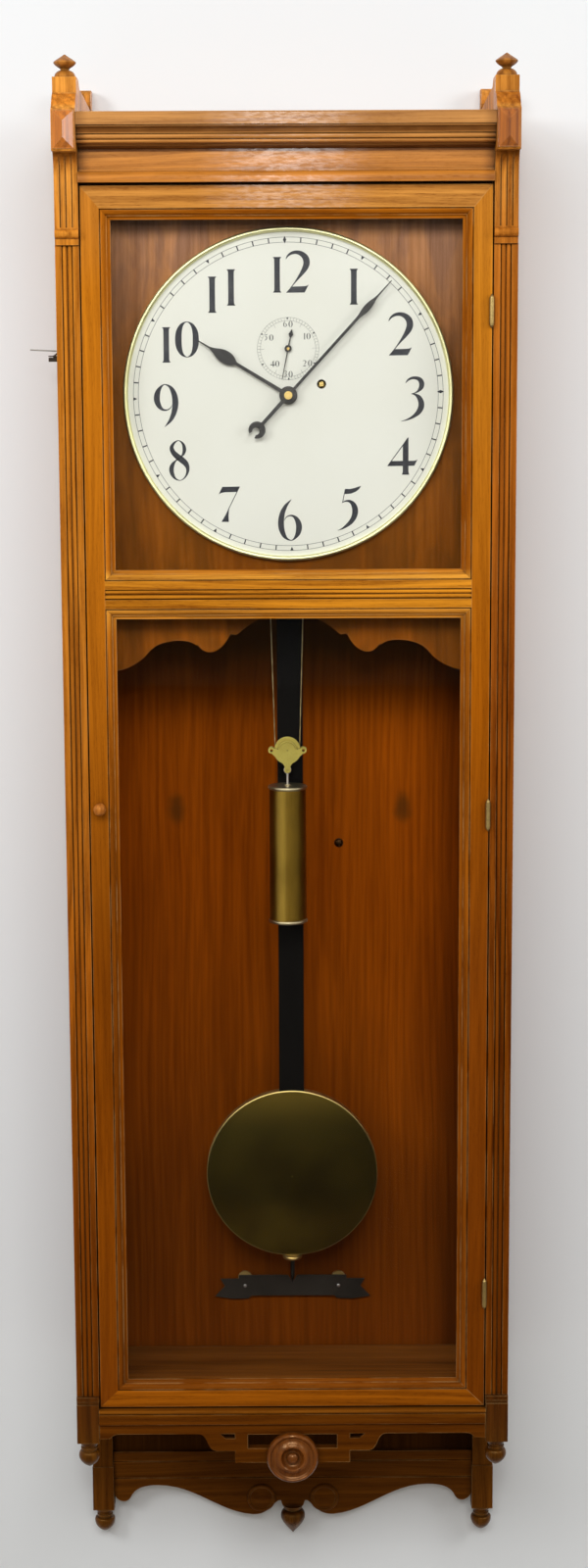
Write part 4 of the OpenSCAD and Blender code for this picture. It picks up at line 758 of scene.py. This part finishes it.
def five(ink, at, size=1.0):
    ink.outline([(9.2, 45.6), (13.9, 45.3), (18.5, 46.3), (23.1, 47.8), (26.2, 48.7), (24.2, 45.4),
                 (20.4, 42.4), (15.0, 40.3), (7.8, 39.8)], at, size)
    ink.brush([(8.8, 45.2, 0.7), (5.9, 30.6, 0.8)], at, size, straight=True)
    ink.brush([(5.3, 30.5, 0.6), (9.2, 32.2, 1.6), (13.4, 32.1, 2.9), (17.0, 29.5, 4.8), (19.2, 25.0, 6.2),
               (19.6, 19.9, 6.4), (18.1, 14.3, 5.7), (14.7, 9.2, 4.7), (10.0, 5.1, 3.2), (5.2, 2.0, 1.5),
               (0.6, 0.3, 0.4)], at, size)


def six(ink, at, size=1.0, turn=0.0):
    ink.brush([(14.8, 45.4, 0.4), (11.2, 41.5, 2.3), (8.0, 37.3, 4.0), (4.9, 30.4, 5.5), (3.4, 22.1, 6.4),
               (3.8, 13.9, 6.2), (6.3, 6.7, 4.7), (9.9, 2.4, 2.4), (14.2, 0.6, 0.9)], at, size, turn)
    ink.brush([(6.9, 22.6, 0.5), (9.2, 26.0, 0.9), (12.7, 27.7, 1.4), (16.8, 27.2, 2.5), (20.3, 24.0, 4.6),
               (22.6, 19.0, 6.1), (23.0, 13.9, 6.4), (21.7, 8.2, 5.2), (18.9, 3.7, 2.8), (16.3, 1.3, 1.3),
               (14.2, 0.6, 0.9)], at, size, turn)


def seven(ink, at, size=1.0):
    ink.outline([(4.2, 38.4), (23.5, 38.7), (20.7, 32.8), (7.6, 32.6), (3.2, 31.9), (0.2, 30.0)], at, size)
    ink.brush([(22.9, 38.2, 0.8), (11.6, 15.4, 0.8)], at, size, straight=True)
    ink.outline([(12.0, 16.6), (11.1, 11.3), (10.8, 6.7), (11.1, 0.2), (3.0, 0.2), (7.5, 7.7), (9.9, 12.6),
                 (11.4, 16.2)], at, size)


def eight(ink, at, size=1.0):
    ink.brush([(11.0, 43.9, 0.8), (6.0, 41.2, 2.4), (3.3, 36.2, 4.2), (5.0, 31.2, 5.3), (9.0, 27.0, 6.2),
               (13.9, 23.2, 6.6), (18.5, 18.9, 5.8), (20.7, 13.4, 3.9), (19.4, 6.9, 2.2), (15.8, 2.3, 1.1),
               (11.6, 0.7, 0.8), (6.8, 2.8, 2.2), (3.6, 7.9, 4.4), (2.9, 13.5, 5.0), (4.5, 18.2, 3.8),
               (7.9, 22.2, 1.5), (13.1, 26.0, 1.1), (16.2, 29.8, 3.0), (17.2, 34.9, 4.0), (15.6, 40.4, 2.6)],
              at, size, closed=True)


def nine(ink, at, size=1.0):
    six(ink, (at[0] + 26.0 * size, at[1] + 45.8 * size), size, turn=math.pi)


def nought(ink, at, size=1.0):
    ink.brush([(13.0, 38.1, 0.8), (7.6, 35.0, 3.4), (4.4, 28.0, 6.2), (3.6, 19.3, 7.1), (4.4, 10.6, 6.2),
               (7.6, 3.6, 3.4), (13.0, 0.5, 0.8), (18.4, 3.6, 3.2), (21.7, 10.6, 5.8), (22.5, 19.3, 6.6),
               (21.7, 28.0, 5.8), (18.4, 35.0, 3.2)], at, size, closed=True)


figures = Print()
one(figures, (-11.5, 109.8))
two(figures, (-2.2, 109.6))
one(figures, (71.4, 96.6), 1.01)
two(figures, (108.9, 42.2), 1.03)
three(figures, (122.0, -28.7))
four(figures, (107.7, -86.5))
five(figures, (53.0, -147.1))
six(figures, (-12.0, -158.2))
seven(figures, (-77.0, -137.2))
eight(figures, (-131.0, -92.2))
nine(figures, (-146.2, -33.8), 1.02)
one(figures, (-132.2, 35.7))
nought(figures, (-122.6, 41.0))
one(figures, (-81.9, 88.6), 1.02)
one(figures, (-61.4, 96.2), 1.02)

track = Print()
track_out, track_in = 168.6, 163.3
for radius in (track_out, track_in):
    track.ring(radius, 0.4)
print_turn = math.radians(-1.1)
for minute in range(60):
    angle = 2 * math.pi * minute / 60 + print_turn
    if minute in (0, 15):
        track.outline([(0, 169.8), (1.8, 165.8), (0, 161.8), (-1.8, 165.8)], turn=angle)
    elif minute % 5 == 0:
        track.outline([(-1.8, track_out), (1.8, track_out), (0, 164.4)], turn=angle)
    else:
        track.outline([(-0.65, 163.1), (0.65, 163.1), (0.65, 168.8), (-0.65, 168.8)], turn=angle)

small = Print()
small_at = (0.0, 50.0)
small_out, small_in = 33.4, 30.0
for radius in (small_out, small_in):
    small.ring(radius, 0.22, small_at, 120)
for second in range(60):
    angle = 2 * math.pi * second / 60 + print_turn
    if second % 10 == 0:
        small.outline([(-1.3, small_out), (1.3, small_out), (0, 30.6)], small_at, turn=angle)
    else:
        foot = 26.0 if second % 5 == 0 else small_in
        small.outline([(-0.11, foot), (0.11, foot), (0.11, small_out), (-0.11, small_out)], small_at,
                      turn=angle)
small_size = 0.172
small_tens = ((six, -5.0, 73.0), (one, 17.9, 59.9), (two, 15.9, 31.1), (three, -5.2, 19.4),
              (four, -19.6, 30.6), (five, -26.0, 58.6))
for tens, x, z in small_tens:
    tens(small, (x, z), small_size * (1.0 if tens in (one, four) else 0.84))
    nought(small, (x + (2.0 if tens is one else 5.6), z), small_size)


def printing_ink(name, fresh, faded, patches, smoothest, shine):
    """Black ink that has faded in patches, given by their noise's scale, detail and roughness."""
    material, tree = new_material(name)
    place = object_place(tree)
    colour = mix(tree, between(tree, noise(tree, place, *patches), 0.35, 0.75), (*fresh, 1), (*faded, 1))
    roughness = between(tree, noise(tree, place, 30.0), 0.3, 0.7, smoothest, 0.5)
    show(tree, put(tree, "BsdfPrincipled", {"Base Color": colour, "Roughness": roughness,
                                            "Specular IOR Level": shine}).outputs[0])
    return material


dial_ink = printing_ink("dial_ink", (0.018, 0.019, 0.024), (0.036, 0.036, 0.040), (45.0, 4.0, 0.65), 0.38,
                        0.25)
figures.piece("dial_figures", dial_ink)
track.piece("minute_track", dial_ink)
thin_ink = printing_ink("thin_ink", (0.05, 0.05, 0.052), (0.12, 0.12, 0.118), (60.0, 3.0), 0.4, 0.2)
small.piece("seconds_track", thin_ink)

# The hands: cut from thin steel and blackened, each pressed on its pipe or arbor. The brass nut at
# the centre belongs to the centre wheel.
hand_steel = metal("hand_steel", (0.035, 0.033, 0.030), (0.018, 0.017, 0.016), rough=0.28, metallic=0.5,
                   dirt=0.2, rubbed=(0.14, 0.13, 0.11), shine=0.5)
dress(hand_steel, "minute_hand", "hour_hand", "seconds_hand")

# The pendulum: a flat rod of black-lacquered wood on a steel spring, and a brass bob that has gone
# dark. The bob rests on the brass rating nut, which turns on a pointed steel screw.
rod_black, tree = new_material("rod_lacquer")
place = object_place(tree)
thread = noise(tree, stretched(tree, place, 300, 300, 6), 1.0, 3.0)
old = use(tree, age, Color=mix(tree, thread, (0.0025, 0.0022, 0.002, 1), (0.006, 0.005, 0.004, 1)),
          Rubbed=(0.03, 0.02, 0.012, 1), Wax=(0.004, 0.004, 0.004, 1), Wear=0.5, Dirt=0.3)
roughness = math_of(tree, "ADD", old["Roughness"], between(tree, thread, 0.3, 0.7, 0.42, 0.52))
normal = put(tree, "Bump", {"Strength": 0.2, "Distance": 0.0002, "Height": thread}).outputs["Normal"]
show(tree, put(tree, "BsdfPrincipled", {"Base Color": old["Color"], "Roughness": roughness, "Normal": normal,
                                        "Specular IOR Level": 0.04}).outputs[0])
dress(rod_black, "pendulum_rod")


def bob_tarnish(tree, colour):
    """The bob is darkest across its middle and paler below and near its top, a painted reflection of the
    room, and paler at its turned rim.
    """
    at = at_object(tree)
    off_x = math_of(tree, "SUBTRACT", at["X"], 0.001)
    off_z = math_of(tree, "ADD", at["Z"], 1.148)
    far = distance(tree, off_x, off_z)
    low = between(tree, off_z, -0.015, -0.075)
    high = between(tree, off_z, 0.05, 0.095, 0.0, 0.6)
    colour = mix(tree, math_of(tree, "MAXIMUM", low, high), colour, (2.1, 1.9, 1.5, 1), "MULTIPLY")
    return mix(tree, between(tree, far, 0.0993, 0.1001, 0.0, 0.8), colour, (0.50, 0.38, 0.14, 1))


bob_brass = metal("bob_brass", (0.042, 0.030, 0.006), (0.022, 0.015, 0.0035), rough=0.32, scratch=(90, 9, 9),
                  dirt=0.1, rubbed=(0.30, 0.24, 0.10), bump=0.02, extra=bob_tarnish)
dress(bob_brass, "pendulum_bob")
dress(wheel_brass, "rating_nut")
dark_steel = metal("dark_steel", (0.030, 0.026, 0.022), (0.016, 0.013, 0.011), rough=0.4, dirt=0.7,
                   rubbed=(0.10, 0.09, 0.08), shine=0.2)
dress(dark_steel, "rating_screw")
dress(plain_steel, "suspension_spring")


# The weight: a brass tube filled with lead, with a steel hook at its top, under a turned brass
# pulley in a pierced brass stirrup.
def weight_tube(tree, colour):
    """A painted highlight runs down the tube's left, the rest being darkened, and its hook and the edges
    of its caps are paler.
    """
    at = at_object(tree)
    aside = math_of(tree, "ADD", at["X"], 0.0105)
    polished = between(tree, math_of(tree, "ABSOLUTE", aside), 0.0085, 0.002)
    colour = mix(tree, math_of(tree, "SUBTRACT", 1.0, polished), colour, (0.50, 0.46, 0.36, 1), "MULTIPLY")
    top = between(tree, at["Z"], -0.6820, -0.6810)
    low = between(tree, at["Z"], -0.8310, -0.8320)
    colour = mix(tree, math_of(tree, "MAXIMUM", top, low), colour, (0.42, 0.36, 0.22, 1))
    return mix(tree, between(tree, at["Z"], -0.6765, -0.6755), colour, (0.60, 0.59, 0.56, 1))


weight_brass = metal("weight_brass", (0.50, 0.32, 0.055), (0.30, 0.18, 0.026), rough=0.26,
                     scratch=(90, 90, 3), dirt=0.4, extra=weight_tube)
dress(weight_brass, "weight")
pulley_brass = metal("pulley_brass", (0.50, 0.42, 0.10), (0.34, 0.27, 0.06), rough=0.28, dirt=0.8)
dress(pulley_brass, "pulley", "pulley_bracket")

# The cable is laid from three strands of brass wire. It runs from a stud on the movement down
# round the pulley and up to the drum. In the clock it lengthens and shortens with the weight's
# travel; here it is laid at one length.
cable_wire, tree = new_material("cable_wire")
place = object_place(tree)
tarnish = between(tree, noise(tree, place, 130.0, 3.0), 0.35, 0.65)
old = use(tree, age, Color=mix(tree, tarnish, (0.44, 0.35, 0.16, 1), (0.26, 0.19, 0.08, 1)),
          Rubbed=(0.55, 0.46, 0.24, 1), Wax=(0.05, 0.035, 0.012, 1), Wear=0.4, Dirt=0.9)
scratched = noise(tree, place, 1400.0, 2.0)
normal = put(tree, "Bump", {"Strength": 0.2, "Distance": 0.0001, "Height": scratched}).outputs["Normal"]
show(tree, put(tree, "BsdfPrincipled", {"Base Color": old["Color"], "Metallic": 1.0,
                                        "Roughness": between(tree, scratched, 0.2, 0.8, 0.3, 0.5),
                                        "Normal": normal}).outputs[0])

sheave_centre, turn_radius, wire_radius = Vector((-0.002, -0.136, -0.637)), 0.0138, 0.0007
stud_end, drum_end = Vector((-0.0276, -0.136, -0.2281)), Vector((0.0235, -0.136, -0.2281))
to_groove = Vector((turn_radius, 0, 0))
cut_every, turn_cuts = 0.0012, 36


def straight_run(start, end):
    """Places along a straight run, each with the cable's heading there."""
    cuts = round((end - start).length / cut_every)
    return [(start.lerp(end, k / cuts), (end - start).normalized()) for k in range(cuts + 1)]


route = straight_run(stud_end, sheave_centre - to_groove)
for k in range(1, turn_cuts):
    angle = math.pi + math.pi * k / turn_cuts
    outward = Vector((math.cos(angle), 0, math.sin(angle)))
    route.append((sheave_centre + turn_radius * outward, Vector((-outward.z, 0, outward.x))))
route += straight_run(sheave_centre + to_groove, drum_end)
strands, around_wire, lay = 3, 12, 0.007
points, faces, run = [], [], 0.0
for k, (middle, heading) in enumerate(route):
    run += (middle - route[k - 1][0]).length if k else 0.0
    across = Vector((0, 1, 0))
    beside = heading.cross(across)
    for n in range(around_wire):
        angle = 2 * math.pi * n / around_wire
        swell = wire_radius * (0.86 + 0.14 * math.cos(strands * (angle - 2 * math.pi * run / lay)))
        points.append(middle + swell * (across * math.cos(angle) + beside * math.sin(angle)))
    if k:
        low = (k - 1) * around_wire
        for n in range(around_wire):
            beyond = (n + 1) % around_wire
            faces.append((low + n, low + beyond, low + around_wire + beyond, low + around_wire + n))
faces += [tuple(range(around_wire)), tuple(range(len(points) - 1, len(points) - around_wire - 1, -1))]
mesh = bpy.data.meshes.new("laid_cable")
mesh.from_pydata(points, [], faces)
mesh.materials.append(cable_wire)
shell = bmesh.new()
shell.from_mesh(mesh)
bmesh.ops.recalc_face_normals(shell, faces=shell.faces)
shell.to_mesh(mesh)
shell.free()
mesh.polygons.foreach_set("use_smooth", [True] * len(mesh.polygons))
laid_cable = bpy.data.objects.new("laid_cable", mesh)
bpy.context.scene.collection.objects.link(laid_cable)
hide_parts("weight_cable")
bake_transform(laid_cable)
